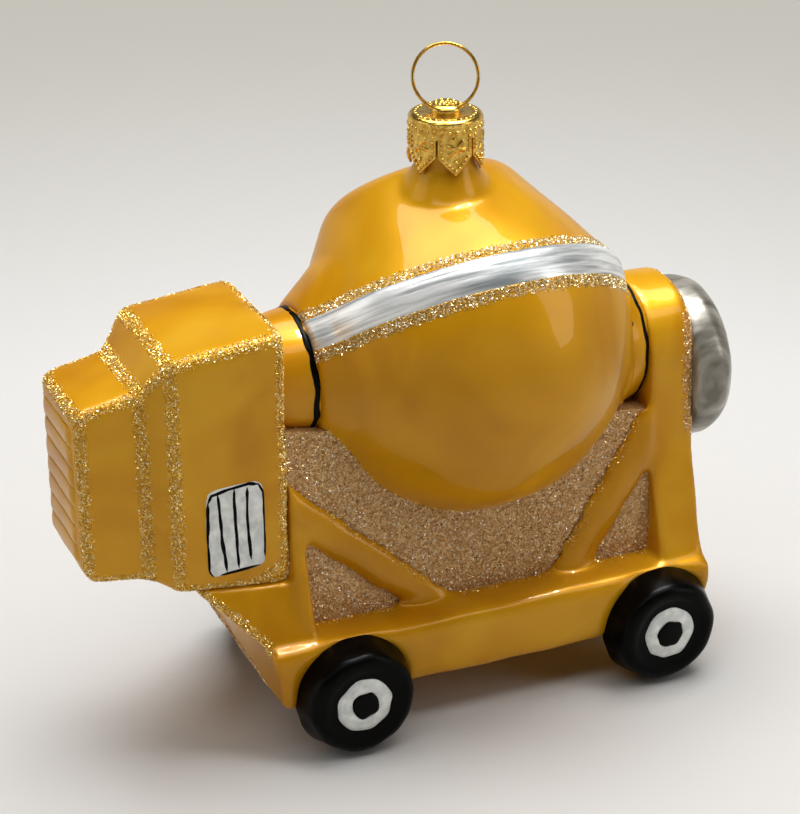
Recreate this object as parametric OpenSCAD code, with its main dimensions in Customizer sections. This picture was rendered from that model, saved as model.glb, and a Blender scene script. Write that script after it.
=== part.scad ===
// Hanging glass ornament in the shape of a tilting-drum concrete mixer on four wheels.
// Millimetres, +Z up, engine end toward -X, standing on its wheels at z = 0.

/* [Drum] */
// Radius of the round bowl
bowl_r = 28.7; // [22:0.1:34]
// Height of the bowl's lowest point over the base
drum_clear = 11.6; // [8:0.1:18]
// Lean of the drum's axis toward the far side, in degrees
drum_tilt = 38; // [10:1:50]
// Turn of the drum's lean toward the engine side, in degrees
drum_turn = 2.7; // [0:0.1:10]
// Start of the raised band above the bowl's centre
band_low = 0.3; // [0:0.1:4]
// Width of the raised band
band_w = 5.4; // [3:0.1:8]
// Height of the raised band over the bowl
band_rise = 0.5; // [0.2:0.1:1.5]
// Radius at the bend of the upper cone
bend_r = 23.6; // [21:0.1:29]
// Height of the bend of the upper cone above the bowl's centre
bend_s = 13; // [8:0.5:14]
// Rounding of the shoulder round the mouth
shoulder_r = 7.4; // [4:0.1:9]
// Radius of the circle that the shoulder's rounding runs along
shoulder_at = 10.6; // [9:0.1:15]
// Height of the shoulder's rounding above the bowl's centre
shoulder_s = 19.8; // [15:0.1:22]
// Radius of the recessed mouth
mouth_r = 8.8; // [7:0.1:12]
// Depth of the recessed mouth
mouth_depth = 1.4; // [0.6:0.1:3]

/* [Trunnion hubs] */
// Radius of the hub on the engine side
engine_hub_r = 10.4; // [7:0.1:13]
// Drop of the engine hub's axis below the drum's centre
engine_hub_drop = 0.9; // [0:0.1:6]
// Radius of the hub on the post side
post_hub_r = 11.2; // [7:0.1:13]
// Drop of the post hub's axis below the drum's centre
post_hub_drop = 5.1; // [0:0.1:8]
// How much the hubs narrow toward their ends
hub_bulge = 0.5; // [0.1:0.1:1.5]
// Reach of the hubs' ends into the drum
hub_seat = 3; // [1:0.1:6]
// Step from the hubs out to the ears that the drum reaches them with
ear_step = 0.8; // [0.3:0.1:2]
// Length of the ears, as a share of the bowl's radius
ear_reach = 0.35; // [0.25:0.01:0.4]
// Reach of the engine side ear past the bowl
engine_ear_out = 0.2; // [0.1:0.1:2]
// Radius of the engine side ear's root, as a share of the bowl's radius
engine_ear_wide = 0.68; // [0.5:0.01:0.7]
// Distance of the post side ear's end short of the bowl's side
post_ear_short = 1.6; // [0.5:0.1:3]
// Radius of the post side ear's root, as a share of the bowl's radius
post_ear_wide = 0.55; // [0.45:0.01:0.57]

/* [Engine] */
// Length of the main housing
box_len = 18.8; // [14:0.1:22]
// Half width of the main housing
box_half = 13; // [10:0.1:16]
// Height of the housing's top over the hub's axis at its right end
box_rise = 12.7; // [10:0.1:17]
// Fall of the housing's top toward its left end
box_fall = 1.8; // [0:0.1:4]
// Height of the housing's underside over the base at its right end
box_under = 8.6; // [5:0.1:13]
// Rise of the housing's underside toward its left end
box_lift = 2; // [0:0.1:5]
// Length of the slanted shoulder between the housing and the hood
shoulder_len = 4; // [2:0.1:7]
// Rise of the underside along the shoulder
shoulder_lift = 1.6; // [0:0.1:3]
// Step from the housing's top down to the hood
hood_step = 5.5; // [3:0.1:9]
// Length of the hood
hood_len = 10.4; // [7:0.1:15]
// Step from the housing's side in to the hood's side
hood_inset = 3.5; // [1:0.1:6]
// Fall of the hood's top toward its left end
hood_fall = 2; // [0:0.1:4]
// Rise of the hood's underside toward its left end
hood_lift = 1.4; // [0:0.1:4]
// Run of the lower left chamfer along the hood
hood_chamfer_x = 1.2; // [0.5:0.1:6]
// Height of the lower left chamfer
hood_chamfer_z = 2; // [0.5:0.1:8]
// Rounding of the upright corners
edge_r = 1.6; // [0.5:0.1:3]
// Number of louvre ridges on the hood's end
louvre_count = 7; // [4:1:9]
// Height of one louvre ridge
louvre_h = 3.2; // [1.5:0.1:3.5]
// Distance from one louvre ridge to the next
louvre_pitch = 3.4; // [3:0.1:5]
// How far the ridges stand out
louvre_out = 1.1; // [0.3:0.1:1.5]
// Height of the lowest ridge's middle over the hood's underside
louvre_start = 4.4; // [4:0.1:9]
// Width of the side vent
vent_w = 10.5; // [6:0.1:13]
// Height of the side vent
vent_h = 16.2; // [9:0.1:20]
// Distance of the vent from the housing's right end
vent_in = 4; // [2:0.1:5]
// Distance of the vent from the housing's underside
vent_up = 3.7; // [3:0.1:8]
// Rounding of the vent's corners
vent_corner = 1.6; // [0.5:0.1:3]
// Height of the vent plate over the housing's side
vent_rise = 0.4; // [0.2:0.1:1]

/* [Frame] */
// Half width of the base
base_half = 20.7; // [17:0.1:25]
// Height of the base's underside
base_low = 8.9; // [6:0.1:11]
// Thickness of the base
base_h = 11.2; // [8:0.1:14]
// How far the base reaches under the housing
base_over_left = 6.2; // [2:0.1:8]
// How far the base reaches past the post on the dome side
base_over_right = 0; // [0:0.1:3]
// How far the left end draws in toward the underside
base_in_left = 2.2; // [0:0.1:6]
// How far the right end draws in toward the underside
base_in_right = 0.9; // [0:0.1:4]
// Rounding of the base's long edges
base_edge_r = 2.4; // [0.5:0.1:4]
// Ledge of the base outside the feet of the posts
ledge = 2.5; // [1:0.1:5]
// Distance of the sloped foot from the housing's left end
foot_in = 2.5; // [0:0.1:6]
// Step from the housing's side in to the foot's top
foot_inset = 0.6; // [0:0.1:3]
// Gap from the drum's band to the post on the engine side
engine_post_gap = 3.7; // [1:0.1:6]
// Thickness of the post on the engine side
engine_post_w = 2.4; // [1.6:0.1:5]
// Drop of the engine side post's top below the drum's centre
engine_post_drop = 17.7; // [14:0.1:22]
// Gap from the drum's band to the post on the dome side
dome_post_gap = 1.2; // [0.5:0.1:4]
// Thickness of the post on the dome side
dome_post_w = 8.3; // [5:0.1:11]
// Drop of the round top's centre below the post hub's axis
post_round_drop = 1.2; // [0:0.1:5]
// How far the posts stand out from the web
post_proud = 1.2; // [0.3:0.1:3]
// Height of the flare at the posts' feet
flare_h = 24; // [14:0.5:30]
// Bow of the flare at the posts' feet
flare_bow = 1.5; // [1:0.1:2.5]
// Ledge of the base outside the foot of the web
rail = 7.5; // [5:0.1:11]
// Taper of the web's faces toward its top
web_taper = 2.6; // [0:0.1:5]
// Drop of the web's top below the drum's centre at the engine
web_drop_left = 6.2; // [4:0.1:10]
// Drop of the web's top below the drum's centre at the dome side post
web_drop_right = 14.2; // [12:0.1:18]
// How far the struts stand out from the web
strut_proud = 1.6; // [0.6:0.1:2.4]
// Drop of the struts' upper ends below the drum's centre
strut_drop = 13.5; // [11.5:0.1:18]
// Middle of the engine-side strut's foot, from the drum's middle
strut_a_foot = 11.1; // [7:0.1:15]
// Radius of the engine-side strut's round back
strut_a_r = 4.5; // [3:0.1:6]
// Angle of the engine-side strut to the base, in degrees
strut_a_angle = 41.9; // [35:0.1:52]
// Middle of the dome-side strut's foot, from the drum's middle
strut_b_foot = 14.8; // [11:0.1:18]
// Radius of the dome-side strut's round back
strut_b_r = 5.5; // [3:0.1:7]
// Angle of the dome-side strut to the base, in degrees
strut_b_angle = 55.7; // [48:0.1:67]

/* [Dome] */
// Radius of the silver dome
dome_r = 14; // [10:0.1:16]
// Drop of the dome's centre below the post hub's axis
dome_drop = 5.6; // [2:0.1:10]
// Straight depth of the dome's rim
dome_rim = 4; // [2:0.1:6]
// Rounding of the dome's edge
dome_edge_r = 3.8; // [2:0.1:5]
// Rise of the dome's crown over its rounded edge
dome_crown = 0.9; // [0.2:0.1:2]
// Chamfer of the dome's rim at the post
dome_lip = 0.6; // [0.2:0.1:1.5]

/* [Wheels] */
// Distance of the engine-side axle from the base's left end
axle_in_left = 13.8; // [11:0.1:18]
// Distance of the dome-side axle from the base's right end
axle_in_right = 10.1; // [8.5:0.1:14]
// Wheel radius at its outer face
wheel_r = 9.1; // [7:0.1:11]
// Widening of the wheel toward the base
wheel_draft = 1.1; // [0.2:0.1:2]
// How far the wheels stand out from the base
wheel_proud = 4.5; // [2:0.1:7]
// Wheel width
wheel_w = 5.6; // [4.6:0.1:8]
// Rounding of the tread's edges
tread_r = 1.8; // [0.5:0.1:2]
// Outer radius of the pale hub ring
hub_ring_r = 4.8; // [3:0.1:6]
// Radius of the dark hub centre
hub_centre_r = 2.4; // [1:0.1:3]
// Depth of the hub's pocket in the wheel
hub_sink = 0.6; // [0.3:0.1:1.5]
// Height of the hub ring over the wheel's face
hub_ring_rise = 0.2; // [0.1:0.05:0.6]
// Height of the hub centre over the hub ring
hub_centre_rise = 0.2; // [0.1:0.05:0.6]
// Chamfer of the hub's edges
hub_edge = 0.4; // [0.1:0.05:0.8]

/* [Cap] */
// Place of the cap along the ornament, from the drum's middle
cap_off = 2.2; // [0:0.1:6]
// Place of the cap across the ornament
cap_y = 0.6; // [-2:0.1:3]
// Height of the cap's top over the drum's centre
cap_rise = 39.3; // [35:0.1:42]
// Outer radius of the cap
cap_r = 6; // [5:0.1:7]
// Thickness of the cap's wall
cap_wall = 0.5; // [0.3:0.05:0.9]
// Chamfer round the cap's top
cap_edge = 0.6; // [0.2:0.1:1.2]
// Length of the cap's skirt down to the tabs' tips
cap_skirt = 9.1; // [6:0.1:11]
// Height of the tabs' points
notch_h = 3; // [1.5:0.1:4.5]
// Half width of the slits between the tabs
notch_half = 0.2; // [0.1:0.05:0.6]
// Height of the slits' upper ends over the tabs' tips
slit_h = 6; // [4:0.1:8]
// Number of pointed tabs
tab_count = 6; // [4:1:8]
// Turn of the tabs round the cap, in degrees
tab_turn = 98; // [0:1:120]
// Space between the glass neck and the cap
neck_gap = 0.9; // [0.2:0.1:1.5]
// Radius of the mound at the foot of the neck
collar_r = 9; // [7:0.1:11]
// Distance of the mound's root below the tabs' tips
collar_root = 6.5; // [5:0.1:9]
// Widening of the neck at the mound's top
neck_flare = 0.7; // [0.3:0.1:0.8]
// Distance of the mound's top below the tabs' tips
neck_drop = 0.2; // [0.1:0.1:1]
// Radius of the bridge on the cap's top
bridge_r = 2.9; // [2.4:0.1:3.6]
// Length of the bridge along the ring's wire
bridge_len = 4.2; // [3.2:0.1:5.2]
// Rounding of the bridge's top
bridge_edge = 1; // [0.4:0.1:1.4]
// Material left over the wire tunnel
bridge_wall = 0.3; // [0.25:0.05:0.8]
// Height of the wire tunnel's middle over the cap
hinge_rise = 0.4; // [0.35:0.05:0.8]

/* [Hanger ring] */
// Outer diameter of the ring
ring_d = 11; // [8:0.02:14]
// Diameter of the ring's wire
wire_d = 0.56; // [0.4:0.02:0.9]
// Clearance of the wire in its tunnel
ring_gap = 0.2; // [0.15:0.05:0.4]
// Lean of the ring toward the far side, in degrees
ring_lean = 20; // [-60:1:60]
// Turn of the bridge and the ring on the cap, in degrees
ring_turn = 23; // [0:1:45]

/* [Hidden] */
$fn = 96;
// Reach of a cutting form past what it cuts
past = 5;
// Heights
base_top = base_low + base_h;
drum_z = base_top + drum_clear + bowl_r;
engine_hub_z = drum_z - engine_hub_drop;
post_hub_z = drum_z - post_hub_drop;
box_top_right = engine_hub_z + box_rise;
box_top_left = box_top_right - box_fall;
box_low_right = base_top + box_under;
box_low_left = box_low_right + box_lift;
hood_top_right = box_top_left - hood_step;
hood_top_left = hood_top_right - hood_fall;
hood_low_right = box_low_left + shoulder_lift;
hood_low_left = hood_low_right + hood_lift;
louvre_low = hood_low_left + louvre_start;
web_top_left = drum_z - web_drop_left;
web_top_right = drum_z - web_drop_right;
engine_post_top = drum_z - engine_post_drop;
post_round_z = post_hub_z - post_round_drop;
strut_top = drum_z - strut_drop;
dome_z = post_hub_z - dome_drop;
// Drum outline
band_high = band_low + band_w;
band_r = bowl_r + band_rise;
cone_r = sqrt(bowl_r * bowl_r - band_high * band_high);
mouth_s = shoulder_s + shoulder_r;
mouth_floor = mouth_s - mouth_depth;
// Place where the straight cone runs into the shoulder's rounding
bend_dr = bend_r - shoulder_at;
bend_ds = shoulder_s - bend_s;
bend_far = sqrt(bend_dr * bend_dr + bend_ds * bend_ds);
tangent_at = acos(shoulder_r / bend_far) - atan2(bend_ds, bend_dr);
shoulder_steps = 12;
// Places along the ornament, from the drum's middle
ear_len = bowl_r * ear_reach;
engine_ear_end = bowl_r + engine_ear_out;
post_ear_end = bowl_r - post_ear_short;
engine_post_right = -band_r - engine_post_gap;
box_right = engine_post_right - engine_post_w;
box_left = box_right - box_len;
hood_right = box_left - shoulder_len;
hood_left = hood_right - hood_len;
vent_right = box_right - vent_in;
vent_left = vent_right - vent_w;
vent_low = box_low_right + vent_up;
slope_left = box_left + foot_in;
dome_post_left = band_r + dome_post_gap;
dome_post_right = dome_post_left + dome_post_w;
base_left_top = box_right - base_over_left;
base_left_low = base_left_top + base_in_left;
base_right_top = dome_post_right + base_over_right;
base_right_low = base_right_top - base_in_right;
dome_out = dome_post_right + dome_rim + dome_edge_r + dome_crown;
// Half widths
hood_half = box_half - hood_inset;
louvre_half = hood_half - edge_r;
foot_half_top = box_half - foot_inset;
web_half_low = base_half - rail;
web_half_top = web_half_low - web_taper;
post_half = web_half_top + post_proud;
post_half_low = base_half - ledge;
flare_steps = 8;
web_lean = atan2(web_taper, web_top_left - base_top);
wheel_out = base_half + wheel_proud;
wheel_root = wheel_r + wheel_draft;
hub_out = hub_ring_rise + hub_centre_rise;
// Cap and ring
cap_x = -cap_off;
cap_top = drum_z + cap_rise;
neck_top = cap_top - cap_wall;
neck_r = cap_r - cap_wall - neck_gap;
tips_z = cap_top - cap_skirt;
tab_half = cap_r * PI / tab_count;
// Right edge of the cut between two tabs, from below the tips up
notch_edge = [[tab_half, tips_z - notch_half], [tab_half - notch_half, tips_z],
    [notch_half, tips_z + notch_h], [notch_half, tips_z + slit_h]];
bridge_half = bridge_len / 2;
ring_c = (ring_d - wire_d) / 2;
ring_sag = ring_c - sqrt(ring_c * ring_c - bridge_half * bridge_half);
tunnel_r = wire_d / 2 + ring_gap + ring_sag / 2;
hinge_z = cap_top + hinge_rise;
bridge_top = hinge_z + tunnel_r + bridge_wall;
// Middle of the outermost faces, moved onto the origin
near_y = max(bowl_r, wheel_out + hub_out);
lean_y = sin(drum_tilt) * cos(drum_turn);
cone_y = shoulder_s * lean_y + shoulder_at * sqrt(1 - lean_y * lean_y) + shoulder_r;
far_y = max(cone_y, wheel_out + hub_out);
mid_x = (hood_left - louvre_out + dome_out) / 2;
mid_y = (far_y - near_y) / 2;

// Points of a quarter round about a centre, from an angle on
function quarter(x, y, r, from) = [for (a = [0:15:90]) [x + r * cos(from + a), y + r * sin(from + a)]];

// Points of a rectangle with rounded corners, counted from its lower left corner
function rounded(x0, y0, x1, y1, r) = concat(
    quarter(x0 + r, y0 + r, r, 180), quarter(x1 - r, y0 + r, r, 270),
    quarter(x1 - r, y1 - r, r, 0), quarter(x0 + r, y1 - r, r, 90));

// Height of the housing's underside at x
function box_low(x) = box_low_right + box_lift * (box_right - x) / box_len;

module place() {
    translate([-mid_x, -mid_y, 0])
        children();
}

// Side outline in X and Z, given depth across Y
module side_prism(points, half) {
    translate([0, half, 0])
        rotate([90, 0, 0])
            linear_extrude(height = 2 * half)
                polygon(points);
}

// Plan outline in X and Y, given height range
module plan_prism(points, z0, z1) {
    translate([0, 0, z0])
        linear_extrude(height = z1 - z0)
            polygon(points);
}

// End outline in Y and Z, given range along X
module end_prism(points, x0, x1) {
    translate([x0, 0, 0])
        rotate([90, 0, 90])
            linear_extrude(height = x1 - x0)
                polygon(points);
}

// Round bar along X
module bar_x(r, z, x0, x1) {
    translate([x0, 0, z])
        rotate([0, 90, 0])
            cylinder(r = r, h = x1 - x0);
}

module in_drum() {
    translate([0, 0, drum_z])
        rotate([-drum_tilt, 0, drum_turn])
            children();
}

module bowl_form() {
    in_drum()
        intersection() {
            sphere(r = bowl_r);
            translate([0, 0, -2 * bowl_r])
                cylinder(r = 2 * bowl_r, h = 2 * bowl_r + band_low);
        }
}

module band_form() {
    in_drum()
        rotate_extrude()
            polygon([[0, band_low], [bowl_r, band_low], [band_r, band_low + band_rise],
                [band_r, band_high - band_rise], [cone_r, band_high], [0, band_high]]);
}

module cone_form() {
    in_drum()
        rotate_extrude()
            polygon(concat([[0, band_high], [cone_r, band_high], [bend_r, bend_s]],
                [for (i = [0:shoulder_steps])
                    let (a = tangent_at + (90 - tangent_at) * i / shoulder_steps)
                        [shoulder_at + shoulder_r * cos(a), shoulder_s + shoulder_r * sin(a)]],
                [[mouth_r, mouth_s], [mouth_r, mouth_floor], [0, mouth_floor]]));
}

// Floor of the mouth, half as thick as the mouth is deep
module mouth_form() {
    in_drum()
        translate([0, 0, mouth_floor])
            cylinder(r = mouth_r, h = mouth_depth / 2);
}

// Ears that the drum reaches its hubs with, cones about the hubs' axes
module ears(rise) {
    translate([-engine_ear_end, 0, engine_hub_z])
        rotate([0, 90, 0])
            cylinder(r1 = engine_hub_r + ear_step + rise,
                r2 = bowl_r * engine_ear_wide + rise, h = ear_len);
    translate([post_ear_end, 0, post_hub_z])
        rotate([0, -90, 0])
            cylinder(r1 = post_hub_r + ear_step + rise,
                r2 = bowl_r * post_ear_wide + rise, h = ear_len);
}

// Part of the ears between two heights along the drum's axis
module ears_between(low, high, rise) {
    intersection() {
        ears(rise);
        in_drum()
            translate([0, 0, low])
                cylinder(r = 2 * bowl_r, h = high - low);
    }
}

module low_form() {
    bowl_form();
    ears_between(-bowl_r, band_low, 0);
}

module middle_form() {
    band_form();
    ears_between(band_low, band_high, band_rise);
}

module high_form() {
    cone_form();
    ears_between(band_high, bowl_r, 0);
}

// Drum pieces with the sockets that the two hubs sit in
module less_hubs() {
    difference() {
        children();
        engine_hub_form();
        post_hub_form();
    }
}

module drum_bowl() {
    color("#E0A020")
        place()
            less_hubs()
                low_form();
}

module drum_band() {
    color("#B8BDBD")
        place()
            less_hubs()
                middle_form();
}

module drum_cone() {
    color("#E0A020")
        place()
            less_hubs()
                high_form();
}

module drum_mouth() {
    color("#B09584")
        place()
            mouth_form();
}

// Glass neck that carries the cap, with the mound that runs out into the drum
module neck_collar() {
    color("#E0A020")
        place()
            difference() {
                translate([cap_x, cap_y, 0])
                    rotate_extrude()
                        polygon([[0, tips_z - collar_root], [collar_r, tips_z - collar_root],
                            [neck_r + neck_flare, tips_z - neck_drop], [neck_r, tips_z + neck_flare],
                            [neck_r, neck_top], [0, neck_top]]);
                cone_form();
                band_form();
                mouth_form();
            }
}

// Hub turned about Z: a barrel from its outer end to the drum's ear, then the seat in the ear
module hub_form(r, len) {
    rotate_extrude()
        polygon(concat([[0, 0]],
            [for (u = [0:0.25:1]) [r - hub_bulge * pow(2 * u - 1, 2), len * u]],
            [[r - hub_bulge, len + hub_seat], [0, len + hub_seat]]));
}

module engine_hub_form() {
    translate([box_right, 0, engine_hub_z])
        rotate([0, 90, 0])
            hub_form(engine_hub_r, -engine_ear_end - box_right);
}

module post_hub_form() {
    translate([dome_post_left, 0, post_hub_z])
        rotate([0, -90, 0])
            hub_form(post_hub_r, dome_post_left - post_ear_end);
}

module engine_hub() {
    color("#E0A020")
        place()
            engine_hub_form();
}

module post_hub() {
    color("#E0A020")
        place()
            post_hub_form();
}

module engine_housing() {
    color("#E0A020")
        place()
            intersection() {
                side_prism([[box_left, box_low_left], [box_right, box_low_right],
                    [box_right, box_top_right], [box_left, box_top_left]], box_half + past);
                plan_prism(concat([[box_left, -box_half]],
                    quarter(box_right - edge_r, edge_r - box_half, edge_r, 270),
                    quarter(box_right - edge_r, box_half - edge_r, edge_r, 0),
                    [[box_left, box_half]]), 0, box_top_right + past);
            }
}

// Slanted step from the hood out to the main housing
module engine_shoulder() {
    color("#E0A020")
        place()
            intersection() {
                side_prism([[hood_right, hood_low_right], [box_left, box_low_left],
                    [box_left, box_top_left], [hood_right, hood_top_right]], box_half + past);
                plan_prism([[hood_right, -hood_half], [box_left, -box_half],
                    [box_left, box_half], [hood_right, hood_half]], 0, box_top_right + past);
            }
}

module engine_hood() {
    color("#E0A020")
        place()
            intersection() {
                side_prism([[hood_left, hood_low_left + hood_chamfer_z],
                    [hood_left + hood_chamfer_x, hood_low_left], [hood_right, hood_low_right],
                    [hood_right, hood_top_right], [hood_left, hood_top_left]], hood_half + past);
                plan_prism(concat([[hood_right, -hood_half], [hood_right, hood_half]],
                    quarter(hood_left + edge_r, hood_half - edge_r, edge_r, 90),
                    quarter(hood_left + edge_r, edge_r - hood_half, edge_r, 180)), 0, box_top_right + past);
            }
}

module hood_louvres() {
    color("#D2951E")
        place()
            for (i = [0:louvre_count - 1])
                translate([hood_left, 0, louvre_low + i * louvre_pitch])
                    side_prism([for (a = [0:20:180]) [-louvre_out * sin(a), -louvre_h / 2 * cos(a)]],
                        louvre_half);
}

module vent_plate() {
    translate([0, -box_half, 0])
        rotate([90, 0, 0])
            linear_extrude(height = vent_rise)
                polygon(rounded(vent_left, vent_low, vent_right, vent_low + vent_h, vent_corner));
}

module vent_near() {
    color("#C9CDC9")
        place()
            vent_plate();
}

module vent_far() {
    color("#C9CDC9")
        place()
            mirror([0, 1, 0])
                vent_plate();
}

// Sloped foot between the engine and the base
module engine_foot() {
    color("#E0A020")
        place()
            intersection() {
                side_prism([[slope_left, box_low(slope_left)], [base_left_top, base_top],
                    [box_right, base_top], [box_right, box_low_right]], base_half);
                end_prism([[-post_half_low, base_top], [post_half_low, base_top],
                    [foot_half_top, box_low_left], [-foot_half_top, box_low_left]], slope_left, box_right);
            }
}

// Puts a piece on the outer face of a wheel, with its depth pointing inward
module on_wheel(sx, sy) {
    axle_x = sx < 0 ? base_left_top + axle_in_left : base_right_top - axle_in_right;
    translate([axle_x, sy * wheel_out, wheel_root])
        rotate([sy * 90, 0, 0])
            children();
}

module tyre_form(sx, sy) {
    on_wheel(sx, sy)
        rotate_extrude()
            polygon(concat([[0, hub_sink], [hub_ring_r, hub_sink], [hub_ring_r, 0]],
                quarter(wheel_r - tread_r, tread_r, tread_r, 270),
                [[wheel_root, wheel_proud], [wheel_root, wheel_w], [0, wheel_w]]));
}

module hub_ring_form(sx, sy) {
    on_wheel(sx, sy)
        rotate_extrude()
            polygon([[hub_centre_r, -hub_ring_rise], [hub_ring_r - hub_edge, -hub_ring_rise],
                [hub_ring_r, 0], [hub_ring_r, hub_sink], [hub_centre_r, hub_sink]]);
}

module hub_centre_form(sx, sy) {
    on_wheel(sx, sy)
        rotate_extrude()
            polygon([[0, -hub_out], [hub_centre_r - hub_edge, -hub_out], [hub_centre_r, -hub_ring_rise],
                [hub_centre_r, hub_sink], [0, hub_sink]]);
}

module base() {
    color("#E0A020")
        place()
            difference() {
                intersection() {
                    side_prism([[base_left_low, base_low], [base_right_low, base_low],
                        [base_right_top, base_top], [base_left_top, base_top]], base_half + past);
                    end_prism(rounded(-base_half, base_low, base_half, base_top, base_edge_r),
                        base_left_top - past, base_right_top + past);
                }
                for (sx = [-1, 1])
                    for (sy = [-1, 1])
                        tyre_form(sx, sy);
            }
}

// Right edge of a post in Y and Z, from its flared foot up
function flare(z_top) = [for (i = [flare_steps:-1:0])
    let (u = i / flare_steps, z = base_top + flare_h * (1 - u))
        if (z < z_top)
            [post_half + (post_half_low - post_half) * pow(u, flare_bow), z]];

// The same edge on the other side, from above down
function mirrored(points) = [for (i = [len(points) - 1:-1:0]) [-points[i][0], points[i][1]]];

module engine_post_form() {
    edge = concat(flare(engine_post_top), [[post_half, engine_post_top]]);
    end_prism(concat(edge, mirrored(edge)), box_right, engine_post_right);
}

module engine_post() {
    color("#E0A020")
        place()
            engine_post_form();
}

module dome_post() {
    color("#E0A020")
        place()
            end_prism(concat(flare(post_round_z),
                [for (a = [0:10:180]) [post_half * cos(a), post_round_z + post_half * sin(a)]],
                mirrored(flare(post_round_z))), dome_post_left, dome_post_right);
}

// Right half of the web's width at z
function web_half(z) = web_half_low - (z - base_top) * tan(web_lean);

// Leaning sides of the web, past its ends
module web_sides() {
    edge = [for (z = [base_top - past, drum_z]) [web_half(z), z]];
    end_prism(concat(edge, mirrored(edge)), box_right - past, dome_post_left + past);
}

module web_form() {
    intersection() {
        web_sides();
        side_prism([[box_right, base_top], [dome_post_left, base_top],
            [dome_post_left, web_top_right], [box_right, web_top_left]], base_half);
    }
}

module web() {
    color("#B09584")
        place()
            difference() {
                web_form();
                engine_post_form();
                low_form();
                middle_form();
                engine_hub_form();
                post_hub_form();
            }
}

// Round bar let into the web's near face, leaning from its foot up and cut off at the posts
module strut_form(foot, r, lean) {
    intersection() {
        translate([foot, -web_half_low, base_top])
            rotate([-web_lean, 0, 0])
                translate([0, r - strut_proud, 0])
                    rotate([0, lean, 0])
                        translate([0, 0, -2 * r])
                            cylinder(r = r, h = drum_z);
        translate([box_right, -base_half, base_top])
            cube([dome_post_left - box_right, base_half, strut_top - base_top]);
    }
}

// What a strut leaves free
module less_frame() {
    difference() {
        children();
        web_sides();
        engine_post_form();
        low_form();
        engine_hub_form();
        post_hub_form();
    }
}

module strut_near_engine() {
    color("#E0A020")
        place()
            less_frame()
                strut_form(-strut_a_foot, strut_a_r, strut_a_angle - 90);
}

module strut_near_dome() {
    color("#E0A020")
        place()
            less_frame()
                strut_form(strut_b_foot, strut_b_r, 90 - strut_b_angle);
}

module strut_far_engine() {
    color("#E0A020")
        place()
            less_frame()
                mirror([0, 1, 0])
                    strut_form(-strut_a_foot, strut_a_r, strut_a_angle - 90);
}

module strut_far_dome() {
    color("#E0A020")
        place()
            less_frame()
                mirror([0, 1, 0])
                    strut_form(strut_b_foot, strut_b_r, 90 - strut_b_angle);
}

module silver_dome() {
    color("#B8BDBD")
        place()
            translate([dome_post_right, 0, dome_z])
                rotate([0, 90, 0])
                    rotate_extrude()
                        polygon(concat([[0, 0], [dome_r - dome_lip, 0], [dome_r, dome_lip]],
                            quarter(dome_r - dome_edge_r, dome_rim, dome_edge_r, 0),
                            [for (u = [0.75:-0.25:0]) [(dome_r - dome_edge_r) * u,
                                dome_rim + dome_edge_r + dome_crown * (1 - u * u)]]));
}

module tyre_near_left() {
    color("#0A0B0A")
        place()
            tyre_form(-1, -1);
}

module tyre_near_right() {
    color("#0A0B0A")
        place()
            tyre_form(1, -1);
}

module tyre_far_left() {
    color("#0A0B0A")
        place()
            tyre_form(-1, 1);
}

module tyre_far_right() {
    color("#0A0B0A")
        place()
            tyre_form(1, 1);
}

module hub_ring_near_left() {
    color("#C9CDC9")
        place()
            hub_ring_form(-1, -1);
}

module hub_ring_near_right() {
    color("#C9CDC9")
        place()
            hub_ring_form(1, -1);
}

module hub_ring_far_left() {
    color("#C9CDC9")
        place()
            hub_ring_form(-1, 1);
}

module hub_ring_far_right() {
    color("#C9CDC9")
        place()
            hub_ring_form(1, 1);
}

module hub_centre_near_left() {
    color("#0A0B0A")
        place()
            hub_centre_form(-1, -1);
}

module hub_centre_near_right() {
    color("#0A0B0A")
        place()
            hub_centre_form(1, -1);
}

module hub_centre_far_left() {
    color("#0A0B0A")
        place()
            hub_centre_form(-1, 1);
}

module hub_centre_far_right() {
    color("#0A0B0A")
        place()
            hub_centre_form(1, 1);
}

// Metal cap with a skirt of pointed tabs
module cap() {
    color("#B8963C")
        place()
            translate([cap_x, cap_y, 0])
                difference() {
                    rotate_extrude()
                        polygon([[0, neck_top], [cap_r - cap_wall, neck_top], [cap_r - cap_wall, tips_z],
                            [cap_r, tips_z], [cap_r, cap_top - cap_edge],
                            [cap_r - cap_edge, cap_top], [0, cap_top]]);
                    for (i = [0:tab_count - 1])
                        rotate([0, 0, (i + 0.5) * 360 / tab_count - tab_turn])
                            rotate([90, 0, 90])
                                linear_extrude(height = cap_r + past)
                                    polygon(concat(notch_edge, mirrored(notch_edge)));
                    tunnel();
                }
}

// Tunnel that the ring's wire runs through, half of it let into the cap
module tunnel() {
    rotate([0, 0, -ring_turn])
        bar_x(tunnel_r, hinge_z, -bridge_half, bridge_half);
}

// Raised bridge over the ring's wire
module cap_bridge() {
    color("#B8963C")
        place()
            translate([cap_x, cap_y, 0])
                difference() {
                    intersection() {
                        rotate_extrude()
                            polygon(concat([[0, cap_top], [bridge_r, cap_top]],
                                quarter(bridge_r - bridge_edge, bridge_top - bridge_edge, bridge_edge, 0),
                                [[0, bridge_top]]));
                        rotate([0, 0, -ring_turn])
                            translate([-bridge_half, -2 * bridge_r, cap_top])
                                cube([2 * bridge_half, 4 * bridge_r, bridge_top]);
                    }
                    tunnel();
                }
}

// Wire ring, free to swing in the bridge
module hanger_ring() {
    color("#B8963C")
        place()
            translate([cap_x, cap_y, hinge_z])
                rotate([-ring_lean, 0, -ring_turn])
                    translate([0, 0, ring_c - ring_sag / 2])
                        rotate([90, 0, 0])
                            rotate_extrude()
                                translate([ring_c, 0])
                                    circle(d = wire_d);
}

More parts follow.
